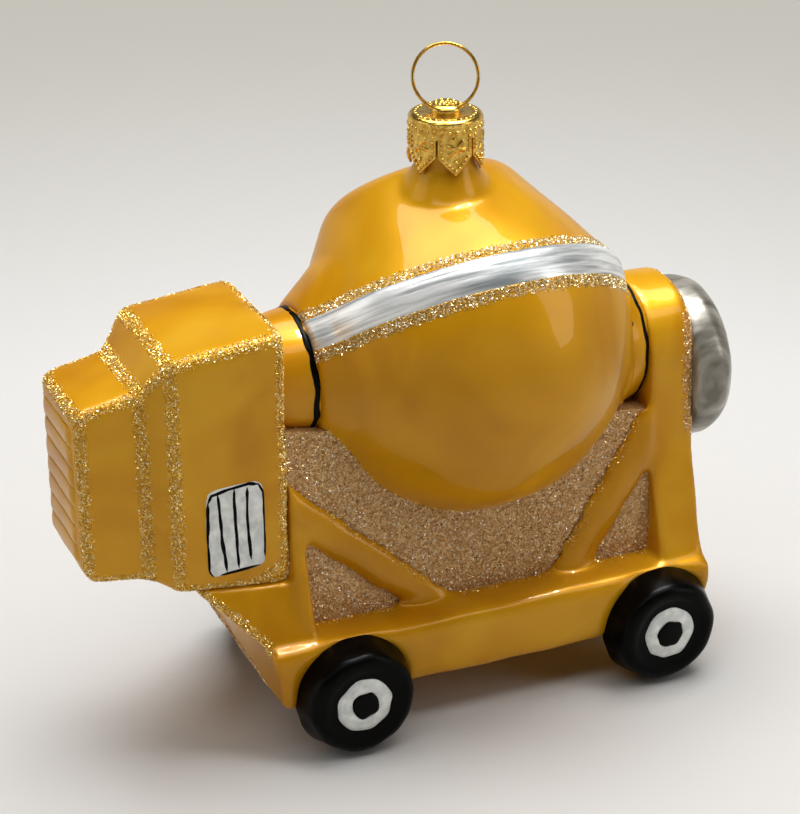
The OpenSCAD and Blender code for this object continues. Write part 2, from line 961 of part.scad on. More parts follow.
drum_bowl();
drum_band();
drum_cone();
drum_mouth();
neck_collar();
engine_hub();
post_hub();
engine_housing();
engine_shoulder();
engine_hood();
hood_louvres();
vent_near();
vent_far();
engine_foot();
base();
engine_post();
dome_post();
web();
strut_near_engine();
strut_near_dome();
strut_far_engine();
strut_far_dome();
silver_dome();
tyre_near_left();
tyre_near_right();
tyre_far_left();
tyre_far_right();
hub_ring_near_left();
hub_ring_near_right();
hub_ring_far_left();
hub_ring_far_right();
hub_centre_near_left();
hub_centre_near_right();
hub_centre_far_left();
hub_centre_far_right();
cap();
cap_bridge();
hanger_ring();
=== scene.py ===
"""Looks of a blown-glass tree ornament in the shape of a tilting-drum mixer.

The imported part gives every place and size. This script lays soft glass skins over it, paints them,
strews glitter on them and lights the ornament as it stands on a pale table.
"""

import logging
import math
from dataclasses import dataclass
from enum import Enum
from typing import Any, Callable, Iterable, Optional, Sequence

import bmesh
import bpy
import numpy as np
from mathutils import Matrix, Vector, noise
from mathutils.bvhtree import BVHTree


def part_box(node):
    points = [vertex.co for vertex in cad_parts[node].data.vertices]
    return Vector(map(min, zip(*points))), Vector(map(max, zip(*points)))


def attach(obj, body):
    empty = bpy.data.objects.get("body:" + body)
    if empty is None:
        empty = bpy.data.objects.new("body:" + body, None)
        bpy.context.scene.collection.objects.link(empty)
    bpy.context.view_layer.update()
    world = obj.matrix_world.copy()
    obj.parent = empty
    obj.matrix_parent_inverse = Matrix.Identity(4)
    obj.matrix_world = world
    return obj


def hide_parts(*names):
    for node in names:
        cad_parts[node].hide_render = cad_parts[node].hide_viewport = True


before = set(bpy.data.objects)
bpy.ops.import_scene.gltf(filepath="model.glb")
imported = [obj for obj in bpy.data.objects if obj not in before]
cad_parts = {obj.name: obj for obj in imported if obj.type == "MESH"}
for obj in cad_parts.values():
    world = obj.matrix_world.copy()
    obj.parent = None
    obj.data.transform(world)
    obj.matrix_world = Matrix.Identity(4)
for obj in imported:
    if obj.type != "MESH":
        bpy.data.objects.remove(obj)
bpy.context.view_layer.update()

LOG = logging.getLogger("ornament")
MM = 0.001
SIDE_VIEW = 90.0
Point = tuple[float, float, float]
Outline = list[tuple[float, float]]
MeshParts = tuple[list[Vector], list[tuple[int, ...]]]


class Body(Enum):
    """The two bodies that the joint keeps apart."""

    ORNAMENT = "ornament"
    RING = "ring"


class Slot(Enum):
    """The record's material slots."""

    LACQUER = "lacquer"
    SILVER = "silver"
    GLITTER = "glitter"
    VENT_PAINT = "vent_paint"
    BLACK_PAINT = "black_paint"
    CAP_GOLD = "cap_gold"
    WIRE_GOLD = "wire_gold"


class Side(Enum):
    """The near side faces the viewer, toward -Y."""

    NEAR = -1
    FAR = 1


def linear(code: str, alpha: float = 1.0) -> tuple[float, float, float, float]:
    """Turns an sRGB hex colour to linear values.

    Args:
        code: Colour such as "#E0A020".
        alpha: Opacity to carry along.

    Returns:
        Red, green, blue and alpha, linear.
    """
    parts = [int(code[i : i + 2], 16) / 255 for i in (1, 3, 5)]
    red, green, blue = (c / 12.92 if c <= 0.04045 else ((c + 0.055) / 1.055) ** 2.4 for c in parts)
    return red, green, blue, alpha


def add(
    tree: bpy.types.NodeTree,
    kind: str,
    inputs: Optional[dict[Any, Any]] = None,
    **settings: Any,
) -> bpy.types.Node:
    """Adds a node with its settings and links.

    Args:
        tree: Shader or geometry tree.
        kind: Type name of the node.
        inputs: Values, or output sockets to link, by the input's name or number.
        settings: Attributes of the node itself.

    Returns:
        The new node.
    """
    node = tree.nodes.new(kind)
    for key, value in settings.items():
        setattr(node, key, value)
    for key, value in (inputs or {}).items():
        if isinstance(value, bpy.types.NodeSocket):
            tree.links.new(value, node.inputs[key])
        else:
            node.inputs[key].default_value = value
    return node


def per_mm(size: float) -> float:
    """Texture scale at which one feature is this many millimetres wide."""
    return 1 / (size * MM)


def seen_rays(tree: bpy.types.NodeTree) -> bpy.types.NodeSocket:
    """Tells what the eye, a mirror or a glass shows from what only lights.

    Args:
        tree: Node tree of a material or of the world.

    Returns:
        A socket that is one for what is shown and nought for the rest.
    """
    path = add(tree, "ShaderNodeLightPath").outputs
    open_or_mirrored = {0: path["Is Camera Ray"], 1: path["Is Glossy Ray"]}
    shown = add(tree, "ShaderNodeMath", open_or_mirrored, operation="MAXIMUM").outputs[0]
    or_through = {0: shown, 1: path["Is Transmission Ray"]}
    return add(tree, "ShaderNodeMath", or_through, operation="MAXIMUM").outputs[0]


def set_ramp(node: bpy.types.Node, stops: Sequence[tuple[float, str]]) -> bpy.types.NodeSocket:
    """Sets a colour ramp's stops.

    Args:
        node: The ramp.
        stops: Place and hex colour of each stop, in order.

    Returns:
        The ramp's colour output.
    """
    elements = node.color_ramp.elements
    while len(elements) < len(stops):
        elements.new(0.5)
    for element, (place, code) in zip(elements, stops):
        element.position = place
        element.color = linear(code)
    return node.outputs["Color"]


@dataclass(frozen=True)
class Finish:
    """A finish: its name and how its shader is put together."""

    name: str

    def make(self) -> bpy.types.Material:
        """Builds the material.

        Returns:
            The material, with its nodes.
        """
        material = bpy.data.materials.new(self.name)
        material.use_nodes = True
        material.node_tree.nodes.clear()
        shader = self.shade(material.node_tree)
        add(material.node_tree, "ShaderNodeOutputMaterial", {"Surface": shader})
        return material

    def shade(self, tree: bpy.types.NodeTree) -> bpy.types.NodeSocket:
        """Gives the shader socket; each finish has its own."""
        raise NotImplementedError


@dataclass(frozen=True)
class AmberLacquer(Finish):
    """Yellow lacquer over blown glass.

    The lacquer runs thicker in places, so the yellow swims slowly between lemon and amber, and it dries to
    a wet gloss that follows the glass's slow waves.
    """

    thin: str = "#DBA21A"
    body: str = "#CF920F"
    pooled: str = "#BC7E07"
    swirl_mm: float = 24.0
    wave_mm: float = 9.0

    def shade(self, tree: bpy.types.NodeTree) -> bpy.types.NodeSocket:
        """Builds pooled colour under a wet coat.

        Args:
            tree: The material's tree.

        Returns:
            The shader socket.
        """
        place = add(tree, "ShaderNodeTexCoord").outputs["Object"]
        swirl = add(
            tree,
            "ShaderNodeTexNoise",
            {"Vector": place, "Scale": per_mm(self.swirl_mm), "Detail": 2.5, "Distortion": 0.9},
        )
        ramp = add(tree, "ShaderNodeValToRGB", {"Fac": swirl.outputs["Fac"]})
        colour = set_ramp(ramp, [(0.3, self.pooled), (0.5, self.body), (0.72, self.thin)])
        wave = add(
            tree,
            "ShaderNodeTexNoise",
            {"Vector": place, "Scale": per_mm(self.wave_mm), "Detail": 1.5, "Distortion": 0.4},
        )
        bump = add(
            tree,
            "ShaderNodeBump",
            {"Height": wave.outputs["Fac"], "Strength": 0.3, "Distance": 0.3 * MM},
        )
        lacquer = add(
            tree,
            "ShaderNodeBsdfPrincipled",
            {
                "Base Color": colour,
                "Metallic": 0.18,
                "Roughness": 0.38,
                "Specular IOR Level": 0.05,
                "Coat Weight": 0.36,
                "Coat Roughness": 0.04,
                "Coat IOR": 1.5,
                "Normal": bump.outputs["Normal"],
                "Coat Normal": bump.outputs["Normal"],
            },
        )
        return lacquer.outputs["BSDF"]


@dataclass(frozen=True)
class BrushedSilverPaint(Finish):
    """Silver paint put on with a brush that was led round an axis.

    Fine metal flakes lie along the strokes, so it shows streaks of light and dark grey and a broken sheen.
    """

    lean_deg: Point = (0.0, 0.0, 0.0)
    light: str = "#FFFFFD"
    dark: str = "#A2A8AA"
    streak_mm: float = 0.9
    draw_out: float = 14.0
    rough: float = 0.3

    def shade(self, tree: bpy.types.NodeTree) -> bpy.types.NodeSocket:
        """Builds streaks that run round the axis.

        Args:
            tree: The material's tree.

        Returns:
            The shader socket.
        """
        place = add(tree, "ShaderNodeTexCoord").outputs["Object"]
        lean = tuple(math.radians(angle) for angle in self.lean_deg)
        along = add(
            tree,
            "ShaderNodeMapping",
            {"Vector": place, "Rotation": lean, "Scale": (self.draw_out, self.draw_out, 1.0)},
            vector_type="TEXTURE",
        )
        streak = add(
            tree,
            "ShaderNodeTexNoise",
            {
                "Vector": along.outputs["Vector"],
                "Scale": per_mm(self.streak_mm),
                "Detail": 4.0,
                "Distortion": 0.3,
            },
        )
        ramp = add(tree, "ShaderNodeValToRGB", {"Fac": streak.outputs["Fac"]})
        colour = set_ramp(ramp, [(0.34, self.dark), (0.6, self.light)])
        bump = add(
            tree,
            "ShaderNodeBump",
            {"Height": streak.outputs["Fac"], "Strength": 0.45, "Distance": 0.12 * MM},
        )
        paint = add(
            tree,
            "ShaderNodeBsdfPrincipled",
            {
                "Base Color": colour,
                "Metallic": 0.45,
                "Roughness": self.rough,
                "Normal": bump.outputs["Normal"],
            },
        )
        return paint.outputs["BSDF"]


@dataclass(frozen=True)
class GlitterGrain(Finish):
    """Loose foil glitter stuck in varnish.

    Each grain is a mirror-bright chip with its own tint, so a few flash and most are calm.
    """

    stops: tuple[tuple[float, str], ...] = ()
    rough: float = 0.22
    metal: float = 0.9

    def shade(self, tree: bpy.types.NodeTree) -> bpy.types.NodeSocket:
        """Builds a chip's colour from the tint that it carries.

        Args:
            tree: The material's tree.

        Returns:
            The shader socket.
        """
        tint = add(tree, "ShaderNodeAttribute", attribute_name="tint")
        ramp = add(tree, "ShaderNodeValToRGB", {"Fac": tint.outputs["Fac"]})
        colour = set_ramp(ramp, self.stops)
        chip = add(
            tree,
            "ShaderNodeBsdfPrincipled",
            {"Base Color": colour, "Metallic": self.metal, "Roughness": self.rough},
        )
        return chip.outputs["BSDF"]


@dataclass(frozen=True)
class GlitterBed(Finish):
    """Champagne glitter laid thickly in a bed of varnish.

    Under the loose grains lies a rough, pinkish crust in which single chips shine.
    """

    crust: str = "#B0844E"
    chip: str = "#DEB67C"
    grit_mm: float = 0.35

    def shade(self, tree: bpy.types.NodeTree) -> bpy.types.NodeSocket:
        """Builds a crust of small chips.

        Args:
            tree: The material's tree.

        Returns:
            The shader socket.
        """
        place = add(tree, "ShaderNodeTexCoord").outputs["Object"]
        grit = add(tree, "ShaderNodeTexVoronoi", {"Vector": place, "Scale": per_mm(self.grit_mm)})
        grey = add(tree, "ShaderNodeSeparateColor", {"Color": grit.outputs["Color"]})
        ramp = add(tree, "ShaderNodeValToRGB", {"Fac": grey.outputs["Red"]})
        colour = set_ramp(ramp, [(0.1, self.crust), (0.95, self.chip)])
        bump = add(
            tree,
            "ShaderNodeBump",
            {"Height": grey.outputs["Green"], "Strength": 0.7, "Distance": 0.2 * MM},
        )
        bed = add(
            tree,
            "ShaderNodeBsdfPrincipled",
            {"Base Color": colour, "Metallic": 0.3, "Roughness": 0.45, "Normal": bump.outputs["Normal"]},
        )
        return bed.outputs["BSDF"]


@dataclass(frozen=True)
class HandPaint(Finish):
    """Enamel paint put on with a small brush.

    It is even in colour, slightly uneven in thickness, and has a satin sheen.
    """

    colour: str = "#0B0C0B"
    cloud: str = "#161716"
    rough: float = 0.4
    cloud_mm: float = 2.2
    metal: float = 0.0
    gloss: float = 0.5

    def shade(self, tree: bpy.types.NodeTree) -> bpy.types.NodeSocket:
        """Builds clouded paint.

        Args:
            tree: The material's tree.

        Returns:
            The shader socket.
        """
        place = add(tree, "ShaderNodeTexCoord").outputs["Object"]
        cloud = add(
            tree,
            "ShaderNodeTexNoise",
            {"Vector": place, "Scale": per_mm(self.cloud_mm), "Detail": 4.0},
        )
        ramp = add(tree, "ShaderNodeValToRGB", {"Fac": cloud.outputs["Fac"]})
        colour = set_ramp(ramp, [(0.35, self.colour), (0.7, self.cloud)])
        bump = add(
            tree,
            "ShaderNodeBump",
            {"Height": cloud.outputs["Fac"], "Strength": 0.3, "Distance": 0.12 * MM},
        )
        paint = add(
            tree,
            "ShaderNodeBsdfPrincipled",
            {
                "Base Color": colour,
                "Metallic": self.metal,
                "Roughness": self.rough,
                "Specular IOR Level": self.gloss,
                "Normal": bump.outputs["Normal"],
            },
        )
        return paint.outputs["BSDF"]


@dataclass(frozen=True)
class PressedBrass(Finish):
    """Thin brass-coloured sheet or wire, pressed or drawn.

    It is a yellow metal with a soft polish; the pressing leaves it dark in the hollows.
    """

    bright: str = "#F0CC6A"
    dull: str = "#C4983C"
    rough: float = 0.24
    mottle_mm: float = 1.1

    def shade(self, tree: bpy.types.NodeTree) -> bpy.types.NodeSocket:
        """Builds mottled yellow metal.

        Args:
            tree: The material's tree.

        Returns:
            The shader socket.
        """
        place = add(tree, "ShaderNodeTexCoord").outputs["Object"]
        mottle = add(
            tree,
            "ShaderNodeTexNoise",
            {"Vector": place, "Scale": per_mm(self.mottle_mm), "Detail": 3.0},
        )
        ramp = add(tree, "ShaderNodeValToRGB", {"Fac": mottle.outputs["Fac"]})
        colour = set_ramp(ramp, [(0.35, self.dull), (0.65, self.bright)])
        bump = add(
            tree,
            "ShaderNodeBump",
            {"Height": mottle.outputs["Fac"], "Strength": 0.25, "Distance": 0.1 * MM},
        )
        brass = add(
            tree,
            "ShaderNodeBsdfPrincipled",
            {
                "Base Color": colour,
                "Metallic": 1.0,
                "Roughness": self.rough,
                "Normal": bump.outputs["Normal"],
            },
        )
        return brass.outputs["BSDF"]


@dataclass(frozen=True)
class TablePaper(Finish):
    """Smooth pale card, dull all over, that runs into the pale walls far away."""

    near: str = "#D6D4D1"
    far: str = "#C7C3BA"

    def shade(self, tree: bpy.types.NodeTree) -> bpy.types.NodeSocket:
        """Builds dull card that turns to the walls' tone with the distance it carries.

        Args:
            tree: The material's tree.

        Returns:
            The shader socket.
        """
        card = add(
            tree,
            "ShaderNodeBsdfPrincipled",
            {"Base Color": linear(self.near), "Roughness": 0.7, "Specular IOR Level": 0.1},
        )
        wall = add(tree, "ShaderNodeEmission", {"Color": linear(self.far)})
        back = add(tree, "ShaderNodeAttribute", attribute_name="distance")
        seen = add(
            tree,
            "ShaderNodeMath",
            {0: seen_rays(tree), 1: back.outputs["Fac"]},
            operation="MULTIPLY",
        )
        blend = add(
            tree,
            "ShaderNodeMixShader",
            {0: seen.outputs[0], 1: card.outputs["BSDF"], 2: wall.outputs["Emission"]},
        )
        return blend.outputs["Shader"]


@dataclass
class Palette:
    """All materials of the ornament that more than one piece shares."""

    lacquer: bpy.types.Material
    gold_grain: bpy.types.Material
    pale_grain: bpy.types.Material
    fine_grain: bpy.types.Material
    bed: bpy.types.Material
    black: bpy.types.Material
    white: bpy.types.Material
    sheet: bpy.types.Material
    wire: bpy.types.Material

    @classmethod
    def mix(cls) -> "Palette":
        """Makes every material once.

        Returns:
            The palette.
        """
        return cls(
            lacquer=AmberLacquer("amber_lacquer_on_blown_glass").make(),
            gold_grain=GlitterGrain(
                "gold_foil_glitter",
                stops=((0.0, "#C0942C"), (0.35, "#E0B84A"), (0.72, "#FCE28A"), (0.92, "#FFF8D2")),
                rough=0.28,
                metal=0.7,
            ).make(),
            pale_grain=GlitterGrain(
                "pale_gold_foil_glitter",
                stops=((0.0, "#98762A"), (0.35, "#CBB066"), (0.7, "#F0E6BC"), (0.9, "#FFFFF4")),
                rough=0.28,
                metal=0.65,
            ).make(),
            fine_grain=GlitterGrain(
                "champagne_foil_glitter",
                stops=((0.0, "#B08448"), (0.4, "#D8AC6C"), (0.75, "#F2D29A"), (0.92, "#FFF8E6")),
                rough=0.28,
                metal=0.5,
            ).make(),
            bed=GlitterBed("champagne_glitter_bed").make(),
            black=HandPaint(
                "satin_black_enamel",
                colour="#020202",
                cloud="#060605",
                rough=0.3,
                gloss=0.06,
            ).make(),
            white=HandPaint(
                "silver_white_enamel",
                colour="#D2D5D1",
                cloud="#F4F5F0",
                rough=0.42,
                cloud_mm=1.6,
                metal=0.1,
            ).make(),
            sheet=PressedBrass("pressed_brass_sheet").make(),
            wire=PressedBrass("drawn_brass_wire", bright="#D2A548", dull="#B98C34", rough=0.16).make(),
        )


def low_high(node: str) -> tuple[np.ndarray, np.ndarray]:
    """Lowest and highest corner of a node, in millimetres."""
    low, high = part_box(node)
    return np.array(low) / MM, np.array(high) / MM


def new_piece(
    name: str, points: Sequence[Sequence[float]], faces: Sequence[Sequence[int]], mend: bool = True
) -> bpy.types.Object:
    """Makes a mesh object from points in millimetres.

    Args:
        name: Name of the piece.
        points: Places in millimetres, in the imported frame.
        faces: Corner numbers of each face.
        mend: Whether to turn all faces outward.

    Returns:
        The object, smooth shaded, in the scene.
    """
    mesh = bpy.data.meshes.new(name)
    scaled = np.asarray(points, float) * MM
    mesh.from_pydata(scaled.tolist(), [], [list(face) for face in faces])
    if mend:
        work = bmesh.new()
        work.from_mesh(mesh)
        bmesh.ops.recalc_face_normals(work, faces=work.faces)
        work.to_mesh(mesh)
        work.free()
    mesh.shade_smooth()
    mesh.update()
    piece = bpy.data.objects.new(name, mesh)
    bpy.context.scene.collection.objects.link(piece)
    return piece


def dress(
    piece: bpy.types.Object,
    material: bpy.types.Material,
    nodes: Iterable[str] = (),
    body: Body = Body.ORNAMENT,
) -> bpy.types.Object:
    """Gives a piece its finish and ties it to the part.

    Args:
        piece: The finished piece.
        material: What it is painted with.
        nodes: CAD nodes that it stands for.
        body: Body that it moves with.

    Returns:
        The piece.
    """
    piece.data.materials.clear()
    piece.data.materials.append(material)
    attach(piece, body.value)
    names = list(nodes)
    if names:
        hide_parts(*names)
    LOG.info("%s: %d faces, %s", piece.name, len(piece.data.polygons), material.name)
    return piece


def paint_node(node: str, material: bpy.types.Material) -> None:
    """Gives a CAD node that stays its material.

    Args:
        node: Name of the node.
        material: Its material.
    """
    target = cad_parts[node]
    target.data.materials.clear()
    target.data.materials.append(material)


def lathe_mesh(
    outline: Outline,
    turn: Matrix,
    steps: int,
    closed: bool = False,
    swell: Optional[Callable[[Vector], float]] = None,
) -> MeshParts:
    """Turns an outline about an axis.

    Args:
        outline: Radius and place along the axis of each ring, in millimetres.
        turn: Matrix from the lathe's frame, axis along Z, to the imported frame, in millimetres.
        steps: Number of steps round the axis.
        closed: Whether the outline's end joins its start, as on a ring.
        swell: Extra radius at a point, for hand-blown unevenness.

    Returns:
        Points in millimetres and faces.
    """
    points: list[Vector] = []
    rows: list[list[int]] = []
    for radius, along in outline:
        if radius < 1e-6:
            rows.append([len(points)] * steps)
            points.append(turn @ Vector((0, 0, along)))
            continue
        rows.append(list(range(len(points), len(points) + steps)))
        for i in range(steps):
            angle = 2 * math.pi * i / steps
            way = Vector((math.cos(angle), math.sin(angle), 0))
            spot = turn @ (way * radius + Vector((0, 0, along)))
            if swell:
                spot = spot + (turn.to_3x3() @ way) * swell(spot)
            points.append(spot)
    faces: list[tuple[int, ...]] = []
    pairs = list(zip(rows, rows[1:] + rows[:1])) if closed else list(zip(rows, rows[1:]))
    for below, above in pairs:
        for i in range(steps):
            j = (i + 1) % steps
            corners = list(dict.fromkeys((below[i], below[j], above[j], above[i])))
            if len(corners) > 2:
                faces.append(tuple(corners))
    return points, faces


def join_meshes(parts: Sequence[MeshParts]) -> MeshParts:
    """Puts several meshes into one.

    Args:
        parts: Points and faces of each mesh.

    Returns:
        Points and faces of the joined mesh.
    """
    points: list[Vector] = []
    faces: list[tuple[int, ...]] = []
    for some, corners in parts:
        shift = len(points)
        points.extend(some)
        faces.extend(tuple(c + shift for c in face) for face in corners)
    return points, faces


def arc(centre: tuple[float, float], radius: float, start: float, end: float, steps: int) -> Outline:
    """Points of an arc, angles in degrees, both ends kept."""
    angles = [math.radians(start + (end - start) * i / steps) for i in range(steps + 1)]
    return [(centre[0] + radius * math.cos(a), centre[1] + radius * math.sin(a)) for a in angles]


def axis_x(x: float, y: float, z: float) -> Matrix:
    """Lathe frame whose axis runs along +X from a point."""
    return Matrix.Translation((x, y, z)) @ Matrix.Rotation(math.radians(90), 4, "Y")


def waver(size: float, wave: float, seed: float) -> Callable[[Vector], float]:
    """Slow unevenness of blown glass.

    Args:
        size: Height of the waves in millimetres.
        wave: Length of the waves in millimetres.
        seed: Shift that makes one piece differ from the next.

    Returns:
        A function from a place to the extra height there.
    """

    def height(spot: Vector) -> float:
        """Height of the wave at a place."""
        return size * noise.noise(spot / wave + Vector((seed, seed, seed)))

    return height


@dataclass
class SoftSkin:
    """Blown-glass skin over several touching CAD nodes, with every edge melted round."""

    name: str
    nodes: tuple[str, ...]
    voxel: float = 0.45
    melt: int = 24
    wave: float = 0.12
    wave_mm: float = 9.0
    seed: float = 3.7
    swell: float = 0.1

    def build(self) -> bpy.types.Object:
        """Joins copies of the nodes, melts their edges and makes the glass uneven.

        Returns:
            The skin as a plain mesh.
        """
        work = bmesh.new()
        for node in self.nodes:
            single = bmesh.new()
            single.from_mesh(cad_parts[node].data)
            bmesh.ops.remove_doubles(single, verts=single.verts, dist=0.01 * MM)
            single.normal_update()
            for vert in single.verts:
                vert.co += vert.normal * self.swell * MM
            copy = bpy.data.meshes.new(node + "_copy")
            single.to_mesh(copy)
            single.free()
            work.from_mesh(copy)
            bpy.data.meshes.remove(copy)
        mesh = bpy.data.meshes.new(self.name + "_raw")
        work.to_mesh(mesh)
        work.free()
        raw = bpy.data.objects.new(self.name + "_raw", mesh)
        bpy.context.scene.collection.objects.link(raw)
        remesh = raw.modifiers.new("melt", "REMESH")
        remesh.mode = "VOXEL"
        remesh.voxel_size = self.voxel * MM
        smooth = raw.modifiers.new("smooth", "SMOOTH")
        smooth.factor = 0.5
        smooth.iterations = self.melt
        graph = bpy.context.evaluated_depsgraph_get()
        skin = bpy.data.meshes.new_from_object(raw.evaluated_get(graph))
        bpy.data.objects.remove(raw)
        skin.name = self.name
        bump = waver(self.wave, self.wave_mm, self.seed)
        normals = [Vector(v.normal) for v in skin.vertices]
        for vert, normal in zip(skin.vertices, normals):
            vert.co = vert.co + normal * (bump(vert.co / MM) * MM)
        skin.shade_smooth()
        skin.update()
        piece = bpy.data.objects.new(self.name, skin)
        bpy.context.scene.collection.objects.link(piece)
        return piece


class Surface:
    """The surface of some pieces, to lay painted lines and glitter on."""

    def __init__(self, pieces: Sequence[bpy.types.Object]) -> None:
        """Joins the pieces' faces to one search tree.

        Args:
            pieces: Pieces whose outer faces carry the lines.
        """
        meshes = []
        for piece in pieces:
            spots = [vertex.co.copy() for vertex in piece.data.vertices]
            meshes.append((spots, [tuple(face.vertices) for face in piece.data.polygons]))
        points, faces = join_meshes(meshes)
        self.tree = BVHTree.FromPolygons(points, faces)

    def nearest(self, spot: Vector) -> tuple[Vector, Vector]:
        """Nearest place on the surface and its normal, all in millimetres."""
        place, normal, _, _ = self.tree.find_nearest(spot * MM)
        return place / MM, normal

    def met(self, start: Vector, way: Vector) -> Optional[Vector]:
        """First place met from a start along a way, in millimetres."""
        place, _, _, _ = self.tree.ray_cast(start * MM, way)
        return place / MM if place else None

    def facing(self, x: float, z: float, side: Side) -> Optional[Vector]:
        """Place seen at x and z when looking in from one side, in millimetres."""
        return self.met(Vector((x, side.value * SIDE_VIEW, z)), Vector((0, -side.value, 0)))

    def stroke(
        self, path: Sequence[Vector], width: float, seed: float, rise: float = 0.07, uneven: float = 0.35
    ) -> MeshParts:
        """Lays a brush stroke along a path.

        Args:
            path: Points near the surface, in millimetres.
            width: Mean width of the stroke in millimetres.
            seed: Shift of the unevenness.
            rise: Thickness of the paint in millimetres.
            uneven: Share by which the width changes.

        Returns:
            Points in millimetres and faces of the stroke.
        """
        spots = resample(path, 0.3)
        points: list[Vector] = []
        faces: list[tuple[int, ...]] = []
        profile = ((-1.0, -0.3), (-0.7, 0.8), (0.0, 1.0), (0.7, 0.8), (1.0, -0.3))
        count = len(spots)
        for i, spot in enumerate(spots):
            base, normal = self.nearest(spot)
            ahead = spots[min(i + 1, count - 1)] - spots[max(i - 1, 0)]
            across = normal.cross(ahead).normalized()
            ends = min(1.0, 0.25 + i / 4, 0.25 + (count - 1 - i) / 4)
            ragged = 1 + uneven * noise.noise(Vector((i * 0.16, seed, 0.5)))
            half = width / 2 * ends * ragged
            drift = across * (0.12 * noise.noise(Vector((i * 0.11, seed, 7.5))))
            for side, lift in profile:
                edge, out = self.nearest(base + drift + across * (side * half))
                points.append(edge + out * (lift * rise))
        for i in range(count - 1):
            for k in range(len(profile) - 1):
                a = i * len(profile) + k
                b = a + len(profile)
                faces.append((a, a + 1, b + 1, b))
        return points, faces


def resample(path: Sequence[Vector], step: float) -> list[Vector]:
    """Divides a path into even steps.

    Args:
        path: Corners of the path.
        step: Length of a step, in the path's own unit.

    Returns:
        Points along the path.
    """
    spots: list[Vector] = []
    for start, end in zip(path, path[1:]):
        count = max(1, round((end - start).length / step))
        spots.extend(start.lerp(end, i / count) for i in range(count))
    return spots + [path[-1]]


def guide_piece(name: str, paths: Sequence[Sequence[Vector]]) -> bpy.types.Object:
    """Makes a wire of edges that glitter follows.

    Args:
        name: Name of the wire.
        paths: Lines of points in millimetres.

    Returns:
        The wire as an object, to be removed after use.
    """
    points: list[Vector] = []
    edges: list[tuple[int, int]] = []
    for path in paths:
        start = len(points)
        points.extend(p * MM for p in path)
        edges.extend((start + i, start + i + 1) for i in range(len(path) - 1))
    mesh = bpy.data.meshes.new(name)
    mesh.from_pydata([tuple(p) for p in points], edges, [])
    wire = bpy.data.objects.new(name, mesh)
    bpy.context.scene.collection.objects.link(wire)
    return wire


